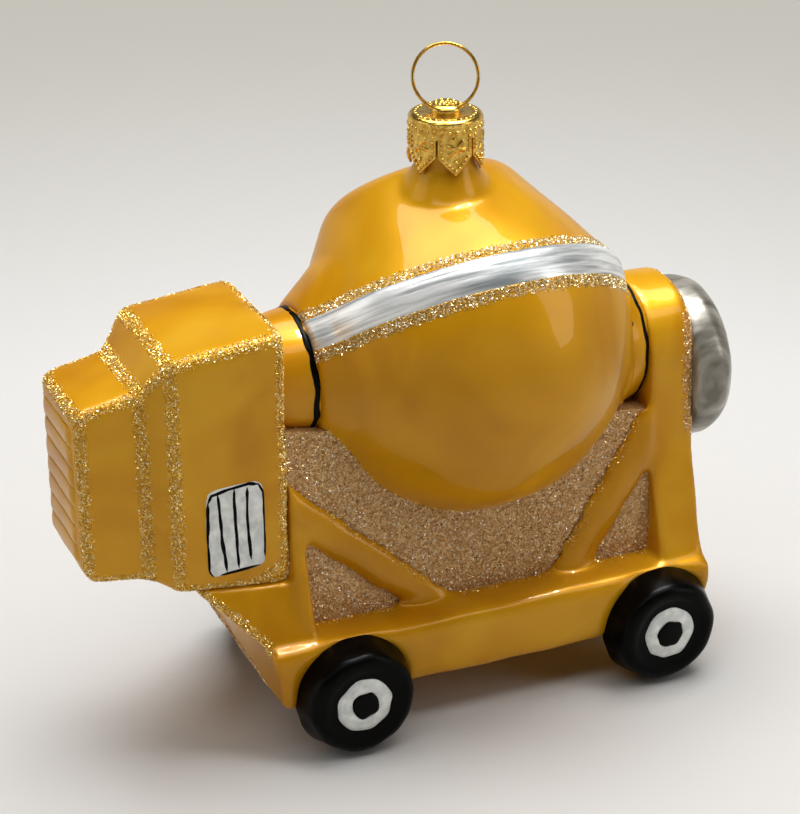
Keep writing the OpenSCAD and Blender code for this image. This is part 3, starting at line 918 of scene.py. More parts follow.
class GlitterTree:
    """Geometry nodes that strew grains on a skin, close to guide lines."""

    SOCKETS = (
        ("Guides", "NodeSocketObject"),
        ("Reach", "NodeSocketFloat"),
        ("Ragged", "NodeSocketFloat"),
        ("Patch", "NodeSocketFloat"),
        ("Density", "NodeSocketFloat"),
        ("Grain", "NodeSocketFloat"),
        ("Seed", "NodeSocketInt"),
        ("Material", "NodeSocketMaterial"),
    )

    def __init__(self) -> None:
        """Builds the tree and remembers each input's identifier."""
        tree = bpy.data.node_groups.new("strewn_glitter", "GeometryNodeTree")
        face = tree.interface
        face.new_socket("Geometry", in_out="INPUT", socket_type="NodeSocketGeometry")
        self.keys: dict[str, str] = {}
        for name, kind in self.SOCKETS:
            self.keys[name] = face.new_socket(name, in_out="INPUT", socket_type=kind).identifier
        face.new_socket("Geometry", in_out="OUTPUT", socket_type="NodeSocketGeometry")
        self.tree = tree
        self.fill()

    def fill(self) -> None:
        """Adds the nodes: points, the ragged reach, the grains and their tint."""
        tree = self.tree
        source = add(tree, "NodeGroupInput").outputs
        strewn = add(
            tree,
            "GeometryNodeDistributePointsOnFaces",
            {"Mesh": source["Geometry"], "Density": source["Density"], "Seed": source["Seed"]},
            distribute_method="RANDOM",
        )
        guides = add(
            tree, "GeometryNodeObjectInfo", {"Object": source["Guides"]}, transform_space="ORIGINAL"
        )
        near = add(
            tree, "GeometryNodeProximity", {0: guides.outputs["Geometry"]}, target_element="EDGES"
        )
        patchy = add(
            tree, "ShaderNodeTexNoise", {"Scale": source["Patch"], "Detail": 3.0, "Roughness": 0.65}
        )
        spread = add(
            tree, "ShaderNodeMath", {0: patchy.outputs["Fac"], 1: 0.5}, operation="SUBTRACT"
        )
        spread = add(
            tree,
            "ShaderNodeMath",
            {0: spread.outputs[0], 1: source["Ragged"], 2: 1.0},
            operation="MULTIPLY_ADD",
        )
        limit = add(
            tree, "ShaderNodeMath", {0: spread.outputs[0], 1: source["Reach"]}, operation="MULTIPLY"
        )
        luck = add(tree, "FunctionNodeRandomValue", {"Seed": 11}, data_type="FLOAT")
        luck.inputs[2].default_value = 0.55
        luck.inputs[3].default_value = 1.15
        limit = add(tree, "ShaderNodeMath", {0: limit.outputs[0], 1: luck.outputs[1]}, operation="MULTIPLY")
        outside = add(
            tree,
            "FunctionNodeCompare",
            {0: near.outputs["Distance"], 1: limit.outputs[0]},
            data_type="FLOAT",
            operation="GREATER_THAN",
        )
        kept = add(
            tree,
            "GeometryNodeDeleteGeometry",
            {"Geometry": strewn.outputs["Points"], "Selection": outside.outputs[0]},
            domain="POINT",
        )
        chip = add(
            tree,
            "GeometryNodeMeshCone",
            {"Vertices": 3, "Side Segments": 1, "Fill Segments": 1, "Radius Bottom": 1.2, "Depth": 1.5},
            fill_type="NGON",
        )
        flat = add(tree, "GeometryNodeSetShadeSmooth", {0: chip.outputs["Mesh"], "Shade Smooth": False})
        turn = add(tree, "FunctionNodeRandomValue", {"Seed": 23}, data_type="FLOAT_VECTOR")
        turn.inputs[0].default_value = (0.0, 0.0, 0.0)
        turn.inputs[1].default_value = (math.tau, math.tau, math.tau)
        grow = add(tree, "FunctionNodeRandomValue", {"Seed": 37}, data_type="FLOAT_VECTOR")
        grow.inputs[0].default_value = (0.6, 0.6, 0.35)
        grow.inputs[1].default_value = (1.35, 1.35, 0.9)
        size = add(
            tree, "ShaderNodeVectorMath", {0: grow.outputs[0], "Scale": source["Grain"]}, operation="SCALE"
        )
        chips = add(
            tree,
            "GeometryNodeInstanceOnPoints",
            {
                "Points": kept.outputs[0],
                "Instance": flat.outputs[0],
                "Rotation": turn.outputs[0],
                "Scale": size.outputs[0],
            },
        )
        tint = add(tree, "FunctionNodeRandomValue", {"Seed": 41}, data_type="FLOAT")
        tinted = add(
            tree,
            "GeometryNodeStoreNamedAttribute",
            {"Geometry": chips.outputs[0], "Name": "tint", "Value": tint.outputs[1]},
            data_type="FLOAT",
            domain="INSTANCE",
        )
        real = add(tree, "GeometryNodeRealizeInstances", {0: tinted.outputs[0]})
        painted = add(
            tree, "GeometryNodeSetMaterial", {"Geometry": real.outputs[0], "Material": source["Material"]}
        )
        add(tree, "NodeGroupOutput", {0: painted.outputs[0]})

    def strew(self, job: "GlitterJob", carrier: bpy.types.Object) -> bpy.types.Object:
        """Strews one job's grains on a carrier.

        Args:
            job: Sizes, guide lines and finish.
            carrier: Piece whose surface takes the grains.

        Returns:
            The grains as one plain mesh.
        """
        base = bpy.data.objects.new(job.name + "_carrier", carrier.data.copy())
        bpy.context.scene.collection.objects.link(base)
        ground = Surface([carrier])
        laid = [[ground.nearest(spot)[0] for spot in resample(path, 1.0)] for path in job.paths]
        wire = guide_piece(job.name + "_guides", laid if job.on_skin else job.paths)
        modifier = base.modifiers.new("glitter", "NODES")
        modifier.node_group = self.tree
        values = {
            "Guides": wire,
            "Reach": job.reach * MM,
            "Ragged": job.ragged,
            "Patch": per_mm(job.patch),
            "Density": job.density / MM**2,
            "Grain": job.grain / 2 * MM,
            "Seed": job.seed,
            "Material": job.material,
        }
        for name, value in values.items():
            modifier[self.keys[name]] = value
        graph = bpy.context.evaluated_depsgraph_get()
        mesh = bpy.data.meshes.new_from_object(base.evaluated_get(graph))
        mesh.name = job.name
        bpy.data.objects.remove(base)
        bpy.data.objects.remove(wire)
        piece = bpy.data.objects.new(job.name, mesh)
        bpy.context.scene.collection.objects.link(piece)
        return piece


@dataclass
class GlitterJob:
    """One strewing of glitter: where, how wide, how dense and how coarse, in millimetres."""

    name: str
    paths: list[list[Vector]]
    material: bpy.types.Material
    reach: float = 1.4
    ragged: float = 0.8
    patch: float = 3.0
    density: float = 22.0
    grain: float = 0.34
    seed: int = 1
    on_skin: bool = True


@dataclass
class Drum:
    """Tilting drum: bowl, raised silver band, cone with its mouth, and the neck under the cap."""

    palette: Palette
    tilt: float = 38.0
    turn_deg: float = 2.7
    bowl_r: float = 28.7
    band_low: float = 0.3
    band_high: float = 5.7
    hem: float = 0.6

    def place(self) -> None:
        """Finds the drum's centre from the boxes of the bowl and the mouth."""
        lean = Matrix.Rotation(math.radians(self.turn_deg), 4, "Z")
        lean = lean @ Matrix.Rotation(math.radians(-self.tilt), 4, "X")
        self.axis = (lean @ Vector((0, 0, 1))).normalized()
        bowl, _ = low_high("drum_bowl")
        mouth_low, mouth_high = low_high("drum_mouth")
        mouth = (mouth_low + mouth_high) / 2
        z = bowl[2] + self.bowl_r
        x = mouth[0] - self.axis.x * (mouth[2] - z) / self.axis.z
        self.turn = Matrix.Translation((x, bowl[1] + self.bowl_r, z)) @ lean

    def build(self) -> bpy.types.Object:
        """Melts drum and neck to one skin, parts the band from it and returns the skin.

        Returns:
            The drum's skin without the band.
        """
        self.place()
        nodes = ("drum_bowl", "drum_band", "drum_cone", "neck_collar")
        skin = SoftSkin("drum_skin", nodes, voxel=0.42, melt=40, wave=0.3).build()
        self.band = self.part_band(skin)
        dress(skin, self.palette.lacquer, ("drum_bowl", "drum_cone", "neck_collar"))
        lean_deg = (-self.tilt, 0.0, self.turn_deg)
        silver = BrushedSilverPaint("brushed_silver_paint_on_the_band", lean_deg=lean_deg)
        dress(self.band, silver.make(), ("drum_band",))
        paint_node("drum_mouth", self.palette.bed)
        return skin

    def part_band(self, skin: bpy.types.Object) -> bpy.types.Object:
        """Cuts the band out of the drum's skin along its two edges.

        Args:
            skin: Skin of the whole drum; it keeps all but the band.

        Returns:
            The band.
        """
        work = bmesh.new()
        work.from_mesh(skin.data)
        for along in (self.band_low, self.band_high):
            every = work.verts[:] + work.edges[:] + work.faces[:]
            spot = self.turn @ Vector((0, 0, along)) * MM
            bmesh.ops.bisect_plane(work, geom=every, plane_co=spot, plane_no=self.axis)
        back = self.turn.inverted()
        strip = work.copy()
        for piece, keep in ((work, False), (strip, True)):
            others = []
            for face in piece.faces:
                along = (back @ (face.calc_center_median() / MM)).z
                if (self.band_low < along < self.band_high) is not keep:
                    others.append(face)
            bmesh.ops.delete(piece, geom=others, context="FACES")
            self.turn_hem(piece)
        work.to_mesh(skin.data)
        work.free()
        mesh = bpy.data.meshes.new("drum_band_skin")
        strip.to_mesh(mesh)
        strip.free()
        for made in (skin.data, mesh):
            made.shade_smooth()
        band = bpy.data.objects.new("drum_band_skin", mesh)
        bpy.context.scene.collection.objects.link(band)
        return band

    def turn_hem(self, work: bmesh.types.BMesh) -> None:
        """Turns the open borders inward, so that no gap shows where two paints meet.

        Args:
            work: The mesh whose borders get a hem.
        """
        borders = [edge for edge in work.edges if edge.is_boundary]
        made = bmesh.ops.extrude_edge_only(work, edges=borders)["geom"]
        middle = self.turn.translation * MM
        for corner in made:
            if isinstance(corner, bmesh.types.BMVert):
                out = corner.co - middle
                out -= self.axis * out.dot(self.axis)
                corner.co -= out.normalized() * (self.hem * MM)

    def ring_line(self, ground: Surface, along: float, count: int = 240) -> list[Vector]:
        """Line round the drum on its surface.

        Args:
            ground: The drum's surface.
            along: Place of the line on the drum's axis, in millimetres.
            count: Number of steps.

        Returns:
            Points of the closed line.
        """
        spots = []
        for i in range(count + 1):
            angle = 2 * math.pi * i / count
            out = self.turn.to_3x3() @ Vector((math.cos(angle), math.sin(angle), 0))
            start = self.turn @ Vector((0, 0, along)) + out * (2 * self.bowl_r)
            spot = ground.met(start, -out)
            if spot:
                spots.append(spot)
        return spots


@dataclass
class Hubs:
    """The two barrel-shaped hubs that the drum sits between."""

    palette: Palette
    draw_in: float = 0.8
    meet: float = 0.25
    seat: float = 3.0
    let_in: float = 0.6

    def profile(self, radius: float, length: float) -> Outline:
        """Barrel from a post to the drum, let into both.

        Args:
            radius: Largest radius of the barrel.
            length: Length with the seat in the drum.

        Returns:
            The outline, closed at both ends.
        """
        spots: Outline = [(0.0, -self.let_in), (radius - self.draw_in, -self.let_in)]
        steps = 26
        for i in range(steps + 1):
            share = min(1.0, length * i / steps / (length - self.seat))
            barrel = radius - self.draw_in * (1 - share) ** 2 + self.meet * share**2
            spots.append((barrel, length * i / steps))
        return spots + [(0.0, length)]

    def build(self) -> list[bpy.types.Object]:
        """Turns both hubs.

        Returns:
            The hub at the engine and the hub at the dome's post.
        """
        pieces = []
        for node, starts_low in (("engine_hub", True), ("post_hub", False)):
            low, high = low_high(node)
            middle = (low + high) / 2
            length = high[0] - low[0]
            outline = self.profile((high[2] - low[2]) / 2, length)
            if not starts_low:
                outline = [(r, length - s) for r, s in outline]
            turn = axis_x(low[0], middle[1], middle[2])
            points, faces = lathe_mesh(outline, turn, 120, swell=waver(0.16, 6.0, 2.2))
            piece = new_piece(node + "_skin", points, faces)
            pieces.append(dress(piece, self.palette.lacquer, (node,)))
        return pieces


@dataclass
class Engine:
    """Engine box, its slanted shoulder, the lower hood with the louvred end, and the painted vents."""

    palette: Palette
    hood_fall: float = 2.0
    hood_lift: float = 1.4
    chamfer: tuple[float, float] = (1.2, 2.0)
    slats: int = 7
    slat_base: float = 0.25
    slat_rise: float = 0.35
    slat_sink: float = 0.35
    slat_ends: float = 0.16
    slat_back: float = 1.0
    slat_droop: float = 0.35
    vent_rise: float = 0.42
    vent_tuck: float = 0.3
    vent_skew: float = 0.28
    vent_line: float = 0.55
    edge_in: float = 0.6
    hood_edge_in: float = 0.4
    stray_corner: tuple[float, float, float] = (6.0, 1.2, 4.0)

    def measure(self) -> None:
        """Reads the engine's corners from the frame."""
        self.box_low, self.box_high = low_high("engine_housing")
        self.step_low, self.step_high = low_high("engine_shoulder")
        self.hood_low, self.hood_high = low_high("engine_hood")

    def build(self) -> bpy.types.Object:
        """Melts the engine's nodes to one skin and adds louvres and vents.

        Returns:
            The engine's skin.
        """
        self.measure()
        nodes = ("engine_housing", "engine_shoulder", "engine_hood")
        skin = SoftSkin("engine_skin", nodes, voxel=0.42, melt=100, wave=0.25, swell=0.35).build()
        dress(skin, self.palette.lacquer, nodes)
        self.louvres()
        for side in Side:
            self.vent(side)
        return skin

    def louvres(self) -> None:
        """Builds the pillow-shaped slats on the hood's end as one plate with creases."""
        low, high = low_high("hood_louvres")
        tall = high[2] - low[2]
        out = high[0] - low[0]
        rows = 24 * self.slats
        columns = 20
        points = []
        for i in range(rows + 1):
            lap = 2 * (i * self.slats / rows % 1.0) - 1
            pillow = math.sqrt(max(0.0, 1 - lap * lap))
            for k in range(columns + 1):
                t = 2 * k / columns - 1
                fade = min(1.0, (1 - abs(t)) / self.slat_ends)
                rise = self.slat_sink + out * (self.slat_base + self.slat_rise * pillow)
                x = high[0] + self.slat_sink - fade * rise
                y = low[1] + (high[1] - low[1]) * k / columns
                droop = self.slat_droop * noise.noise(Vector((y / 7, i / 30, 2.5)))
                points.append(Vector((x, y, low[2] + tall * i / rows + droop)))
        front = len(points)
        points.extend(Vector((high[0] + self.slat_back, p.y, p.z)) for p in list(points))
        faces = []
        for i in range(rows):
            for k in range(columns):
                a = i * (columns + 1) + k
                b = a + columns + 1
                faces.append((a, a + 1, b + 1, b))
                faces.append((front + a, front + b, front + b + 1, front + a + 1))
        rim = (
            list(range(columns))
            + [i * (columns + 1) + columns for i in range(rows)]
            + [rows * (columns + 1) + k for k in range(columns, 0, -1)]
            + [i * (columns + 1) for i in range(rows, 0, -1)]
        )
        for a, b in zip(rim, rim[1:] + rim[:1]):
            faces.append((a, b, front + b, front + a))
        piece = new_piece("hood_slats", points, faces)
        dress(piece, self.palette.lacquer, ("hood_louvres",))

    def vent(self, side: Side) -> None:
        """Builds one side's painted vent, a thin pillow of silver-white paint with black lines.

        Args:
            side: Side that it is on.
        """
        node = "vent_near" if side is Side.NEAR else "vent_far"
        low, high = low_high(node)
        wall = high[1] if side is Side.NEAR else low[1]
        across = high[0] - low[0]
        up = high[2] - low[2]
        columns = 24
        rows = 36
        points = []
        for i in range(rows + 1):
            for k in range(columns + 1):
                u = 2 * k / columns - 1
                v = 2 * i / rows - 1
                square = (abs(u) ** 7 + abs(v) ** 9) ** 0.125
                shrink = max(abs(u), abs(v)) / square if square > 1e-6 else 1.0
                edge = max(abs(u), abs(v))
                rise = self.vent_rise * (1 - edge**14) - self.vent_tuck * (edge > 0.999)
                rise += 0.06 * noise.noise(Vector((u * 2, v * 3, 1.7)))
                wave = 0.18 * noise.noise(Vector((u, v * 1.5, 4.2)))
                x = (low[0] + high[0]) / 2 + across / 2 * u * shrink + wave
                z = (low[2] + high[2]) / 2 + up / 2 * v * shrink + self.vent_skew * u
                points.append(Vector((x, wall + side.value * rise, z)))
        faces = []
        for i in range(rows):
            for k in range(columns):
                a = i * (columns + 1) + k
                b = a + columns + 1
                quad = (a, a + 1, b + 1, b)
                faces.append(quad if side is Side.NEAR else quad[::-1])
        piece = new_piece(node + "_paint", points, faces, mend=False)
        dress(piece, self.palette.white, (node,))
        self.vent_lines(piece, side, low, high)

    def vent_lines(self, plate: bpy.types.Object, side: Side, low: np.ndarray, high: np.ndarray) -> None:
        """Paints the vent's outline and its three bars.

        Args:
            plate: The painted vent.
            side: Which side it is on.
            low: Lowest corner of the vent.
            high: Highest corner of the vent.
        """
        ground = Surface([plate])
        y = low[1] if side is Side.NEAR else high[1]

        def spot(u: float, v: float) -> Vector:
            """Place on the vent by shares of its width and height."""
            x = low[0] + (high[0] - low[0]) * u
            return Vector((x, y, low[2] + (high[2] - low[2]) * v + self.vent_skew * (2 * u - 1)))

        strokes = [
            [spot(0.06, 0.86), spot(0.04, 0.5), spot(0.05, 0.1), spot(0.12, 0.03)],
            [spot(0.06, 0.84), spot(0.12, 0.93), spot(0.4, 0.955), spot(0.72, 0.965), spot(0.88, 0.93)],
            [spot(0.86, 0.95), spot(0.95, 0.84), spot(0.955, 0.5), spot(0.95, 0.12)],
            [spot(0.22, 0.03), spot(0.5, 0.035), spot(0.86, 0.04)],
            [spot(0.22, 0.93), spot(0.25, 0.7), spot(0.27, 0.4), spot(0.33, 0.06)],
            [spot(0.48, 0.95), spot(0.49, 0.6), spot(0.5, 0.3), spot(0.52, 0.07)],
            [spot(0.69, 0.93), spot(0.68, 0.6), spot(0.69, 0.4), spot(0.72, 0.13)],
        ]
        meshes = []
        for i, path in enumerate(strokes):
            meshes.append(ground.stroke(path, self.vent_line, 3.0 + 1.7 * i, uneven=0.6))
        points, faces = join_meshes(meshes)
        name = "vent_lines_near" if side is Side.NEAR else "vent_lines_far"
        lines = new_piece(name, points, faces, mend=False)
        dress(lines, self.palette.black)

    def edges(self) -> list[list[Vector]]:
        """Lines that the gold glitter follows, on both sides and across.

        Returns:
            The lines, in millimetres.
        """
        left = self.box_low[0]
        right = self.box_high[0]
        seam = self.hood_high[0]
        end = self.hood_low[0]
        top_r = self.box_high[2]
        top_l = self.step_high[2]
        low_r = self.box_low[2]
        low_l = self.step_low[2]
        hood_top = self.hood_high[2]
        hood_low = self.hood_low[2]
        end_top = hood_top - self.hood_fall
        end_low = hood_low + self.hood_lift
        inner = right - self.edge_in
        outer = end + self.hood_edge_in
        stray_x, stray_low, stray_high = self.stray_corner
        paths: list[list[Vector]] = []
        for wide, narrow in (
            (self.box_low[1], self.hood_low[1]),
            (self.box_high[1], self.hood_high[1]),
        ):
            paths.append(
                [
                    Vector((left, wide, low_l)),
                    Vector((inner, wide, low_r)),
                    Vector((inner, wide, top_r)),
                    Vector((left, wide, top_l)),
                    Vector((left, wide, low_l)),
                ]
            )
            paths.append(
                [
                    Vector((seam, narrow, hood_low)),
                    Vector((end + self.chamfer[0], narrow, end_low)),
                    Vector((outer, narrow, end_low + self.chamfer[1])),
                    Vector((outer, narrow, end_top)),
                    Vector((seam, narrow, hood_top)),
                    Vector((seam, narrow, hood_low)),
                ]
            )
            paths.append([Vector((seam, narrow, hood_top)), Vector((left, wide, top_l))])
            stray = Vector((inner - stray_x, wide, low_r + stray_low))
            paths.append([stray, Vector((inner, wide, low_r + stray_high))])
        for x, z, near, far in (
            (right, top_r, self.box_low[1], self.box_high[1]),
            (left, top_l, self.box_low[1], self.box_high[1]),
            (seam, hood_top, self.hood_low[1], self.hood_high[1]),
            (end, end_top, self.hood_low[1], self.hood_high[1]),
            (left, low_l, self.box_low[1], self.box_high[1]),
            (seam, hood_low, self.hood_low[1], self.hood_high[1]),
        ):
            paths.append([Vector((x, near, z)), Vector((x, far, z))])
        return paths


@dataclass
class Chassis:
    """Base, sloped foot, posts and struts, the glittered web and the silver dome."""

    palette: Palette
    dome_edge: float = 4.4
    strut_feet: tuple[float, float] = (-11.1, 14.8)
    strut_lean: tuple[float, float] = (41.9, 55.7)
    strut_half: tuple[float, float] = (3.4, 3.9)
    foot_taper: float = 5.6
    end_slope: float = 2.5

    def build(self) -> bpy.types.Object:
        """Melts the frame's nodes to one skin and dresses web and dome.

        Returns:
            The frame's skin.
        """
        nodes = (
            "engine_foot",
            "base",
            "engine_post",
            "dome_post",
            "strut_near_engine",
            "strut_near_dome",
            "strut_far_engine",
            "strut_far_dome",
        )
        skin = SoftSkin("chassis_skin", nodes, voxel=0.5, melt=22, wave=0.35).build()
        dress(skin, self.palette.lacquer, nodes)
        paint_node("web", self.palette.bed)
        self.dome()
        return skin

    def dome(self) -> None:
        """Turns the silver dome and paints it with a brush led round its rim, in a darker, warmer silver
        whose dark tone is painted reflection.
        """
        low, high = low_high("silver_dome")
        middle = (low + high) / 2
        radius = (high[2] - low[2]) / 2
        depth = high[0] - low[0]
        edge = self.dome_edge
        outline: Outline = [(0.0, -0.4), (radius - 0.8, -0.4), (radius - 0.15, 0.5), (radius, 1.6)]
        outline += arc((radius - edge, depth - 0.9 - edge), edge, 0, 80, 14)
        crown_r, crown_s = outline[-1]
        steps = 12
        for i in range(1, steps):
            inward = 1 - i / steps
            outline.append((crown_r * inward, crown_s + (depth - crown_s) * (1 - inward**2)))
        outline.append((0.0, depth))
        turn = axis_x(low[0], middle[1], middle[2])
        points, faces = lathe_mesh(outline, turn, 128, swell=waver(0.35, 5.0, 5.5))
        # Light and dark stops here are a darker, warmer copy of the band's silver: painted reflection that
        # stands in for the dark surroundings the dome mirrors.
        silver = BrushedSilverPaint(
            "silver_paint_on_the_dome_darkened_as_painted_reflection",
            lean_deg=(90.0, 0.0, 0.0),
            light="#B0ABA0",
            dark="#6C675C",
            streak_mm=1.6,
            draw_out=6.0,
        )
        dress(new_piece("dome_skin", points, faces), silver.make(), ("silver_dome",))

    def dome_ring(self) -> list[Vector]:
        """Circle where the dome meets its post.

        Returns:
            Points of the circle, in millimetres.
        """
        low, high = low_high("silver_dome")
        middle = Vector((low[0], (low[1] + high[1]) / 2, (low[2] + high[2]) / 2))
        radius = (high[2] - low[2]) / 2
        angles = [2 * math.pi * i / 90 for i in range(91)]
        return [middle + Vector((0, math.cos(a), math.sin(a))) * radius for a in angles]

    def foot_edges(self) -> list[list[Vector]]:
        """Lines of gold glitter down the sloped foot, one on each side.

        Returns:
            The lines, in millimetres.
        """
        low, high = low_high("engine_foot")
        base_low, base_high = low_high("base")
        paths = []
        for top_y, base_y in (
            (low[1] + self.foot_taper, low[1] + 0.3),
            (high[1] - self.foot_taper, high[1] - 0.3),
        ):
            paths.append(
                [Vector((low[0], top_y, high[2] - 0.8)), Vector((base_low[0], base_y, base_high[2]))]
            )
        return paths

    def end_line(self) -> list[Vector]:
        """Lower edge of the base's sloped left end, which fine glitter clings to.

        Returns:
            The line, in millimetres.
        """
        low, high = low_high("base")
        x = low[0] + self.end_slope
        z = low[2] + 0.6
        return [Vector((x, high[1] - 2, z)), Vector((x, low[1] * 0.45, z))]

    def spill_line(self, side: Side) -> list[Vector]:
        """Foot of the web on the base, where grains spilled over.

        Args:
            side: Side that it is on.

        Returns:
            The line, in millimetres.
        """
        low, high = low_high("web")
        y = low[1] if side is Side.NEAR else high[1]
        floor = low_high("base")[1][2]
        return [Vector((low[0] + 2, y, floor)), Vector((high[0] - 2, y, floor))]

    def strut_lines(self, ground: Surface, middle_x: float, side: Side) -> list[list[Vector]]:
        """Upper edges of one side's struts, where gold grains strayed.

        Args:
            ground: Surface of frame and web.
            middle_x: Place of the drum's middle along X.
            side: Which side.

        Returns:
            One line for each strut.
        """
        floor = low_high("base")[1][2]
        paths = []
        for foot, lean, half, way in zip(self.strut_feet, self.strut_lean, self.strut_half, (-1, 1)):
            up = math.radians(lean)
            path = []
            for i in range(4, 28):
                x = middle_x + foot + way * i * math.cos(up) - way * half * math.sin(up)
                spot = ground.facing(x, floor + i * math.sin(up) + half * math.cos(up), side)
                if spot:
                    path.append(spot)
            paths.append(path)
        return paths

    def web_border(self, drum: Surface, web: Surface, side: Side, step: float = 0.5) -> list[Vector]:
        """Line along which the drum sinks into the web, seen from one side.

        Args:
            drum: The drum's surface.
            web: The web's surface.
            side: Which side.
            step: Distance from point to point in millimetres.

        Returns:
            Points of the line.
        """
        low, high = low_high("web")
        path = []
        for i in range(int((high[0] - low[0]) / step)):
            x = low[0] + i * step
            for k in range(int((high[2] - low[2]) / step)):
                z = high[2] - k * step
                bowl = drum.facing(x, z, side)
                bed = web.facing(x, z, side)
                if bowl and bed and bed.y * side.value > bowl.y * side.value:
                    path.append(bed)
                    break
        return path

    def bed_faces(self, node: str, keep: Callable[[Vector], bool], name: str) -> bpy.types.Object:
        """Takes the faces of a node that carry fine glitter.

        Args:
            node: CAD node.
            keep: Test on a face's normal.
            name: Name of the carrier.

        Returns:
            A carrier with those faces only, to be removed after use.
        """
        work = bmesh.new()
        work.from_mesh(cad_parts[node].data)
        work.normal_update()
        bmesh.ops.delete(work, geom=[f for f in work.faces if not keep(f.normal)], context="FACES")
        mesh = bpy.data.meshes.new(name)
        work.to_mesh(mesh)
        work.free()
        carrier = bpy.data.objects.new(name, mesh)
        bpy.context.scene.collection.objects.link(carrier)
        return carrier


@dataclass
class Wheels:
    """Four moulded wheels: black tyre, uneven silver-white ring and black centre."""

    palette: Palette
    round_r: float = 1.8
    draft: float = 1.1
    dish: float = 0.5

    def build(self) -> None:
        """Turns all tyres, rings and centres."""
        tyres = []
        rings = []
        centres = []
        names = [(side, end) for side in ("near", "far") for end in ("left", "right")]
        for number, (side, end) in enumerate(names):
            low, high = low_high(f"tyre_{side}_{end}")
            middle = (low + high) / 2
            radius = (high[2] - low[2]) / 2
            width = high[1] - low[1]
            out = low[1] if side == "near" else high[1]
            angle = 90 if side == "near" else -90
            turn = Matrix.Translation((middle[0], out, middle[2]))
            turn = turn @ Matrix.Rotation(math.radians(angle), 4, "X")
            tyres.append(self.tyre(turn, radius, width, number))
            ring_low, ring_high = low_high(f"hub_ring_{side}_{end}")
            ring_r = (ring_high[2] - ring_low[2]) / 2
            rings.append(self.hub_ring(turn, ring_r, number))
            centre_low, centre_high = low_high(f"hub_centre_{side}_{end}")
            centre_r = (centre_high[2] - centre_low[2]) / 2
            centres.append(self.hub_centre(turn, centre_r, number))
        tags = [f"{side}_{end}" for side, end in names]
        for name, meshes, material, slot, node in (
            ("tyres", tyres, self.palette.black, Slot.BLACK_PAINT, "tyre"),
            ("hub_rings", rings, self.palette.white, Slot.VENT_PAINT, "hub_ring"),
            ("hub_centres", centres, self.palette.black, Slot.BLACK_PAINT, "hub_centre"),
        ):
            points, faces = join_meshes(meshes)
            dress(new_piece(name, points, faces), material, [f"{node}_{tag}" for tag in tags])

    def tyre(self, turn: Matrix, radius: float, width: float, seed: int) -> MeshParts:
        """Tyre that narrows outward, with a soft edge and a dished face.

        Args:
            turn: Lathe frame, its axis pointing out.
            radius: Largest radius, at the base.
            width: Width of the tread.
            seed: Number of the wheel.

        Returns:
            Points and faces.
        """
        rim = radius - self.draft
        outline: Outline = [(0.0, -width), (radius - 0.4, -width), (radius, -width + 0.4)]
        outline += arc((rim - self.round_r, -self.round_r), self.round_r, 6, 90, 12)
        outline += [(rim - 2.3, -0.05), (rim - 2.9, -0.3), (rim - 3.5, -self.dish), (0.0, -self.dish)]
        return lathe_mesh(outline, turn, 96, swell=waver(0.3, 3.6, seed + 0.4))

    def hub_ring(self, turn: Matrix, radius: float, seed: int) -> MeshParts:
        """Uneven ring of pale paint in the tyre's dish.

        Args:
            turn: Lathe frame, its axis pointing out.
            radius: Outer radius of the ring.
            seed: Number of the wheel.

        Returns:
            Points and faces.
        """
        floor = -self.dish
        outline: Outline = [
            (radius * 0.4, floor - 0.3),
            (radius * 0.46, floor + 0.3),
            (radius * 0.6, floor + 0.36),
            (radius * 0.84, floor + 0.26),
            (radius * 0.97, floor + 0.12),
            (radius, floor - 0.3),
        ]
        return lathe_mesh(outline, turn, 120, closed=True, swell=waver(0.34, 2.4, seed * 3.1 + 2.9))

    def hub_centre(self, turn: Matrix, radius: float, seed: int) -> MeshParts:
        """Blob of black paint in the middle of the ring.

        Args:
            turn: Lathe frame, its axis pointing out.
            radius: Mean radius of the blob.
            seed: Number of the wheel.

        Returns:
            Points and faces.
        """
        floor = -self.dish
        outline: Outline = [
            (0.0, floor - 0.3),
            (radius * 0.98, floor - 0.3),
            (radius, floor + 0.38),
            (radius * 0.85, floor + 0.5),
            (radius * 0.5, floor + 0.54),
            (0.0, floor + 0.54),
        ]
        return lathe_mesh(outline, turn, 72, swell=waver(0.5, 1.7, seed * 2.3 + 6.1))


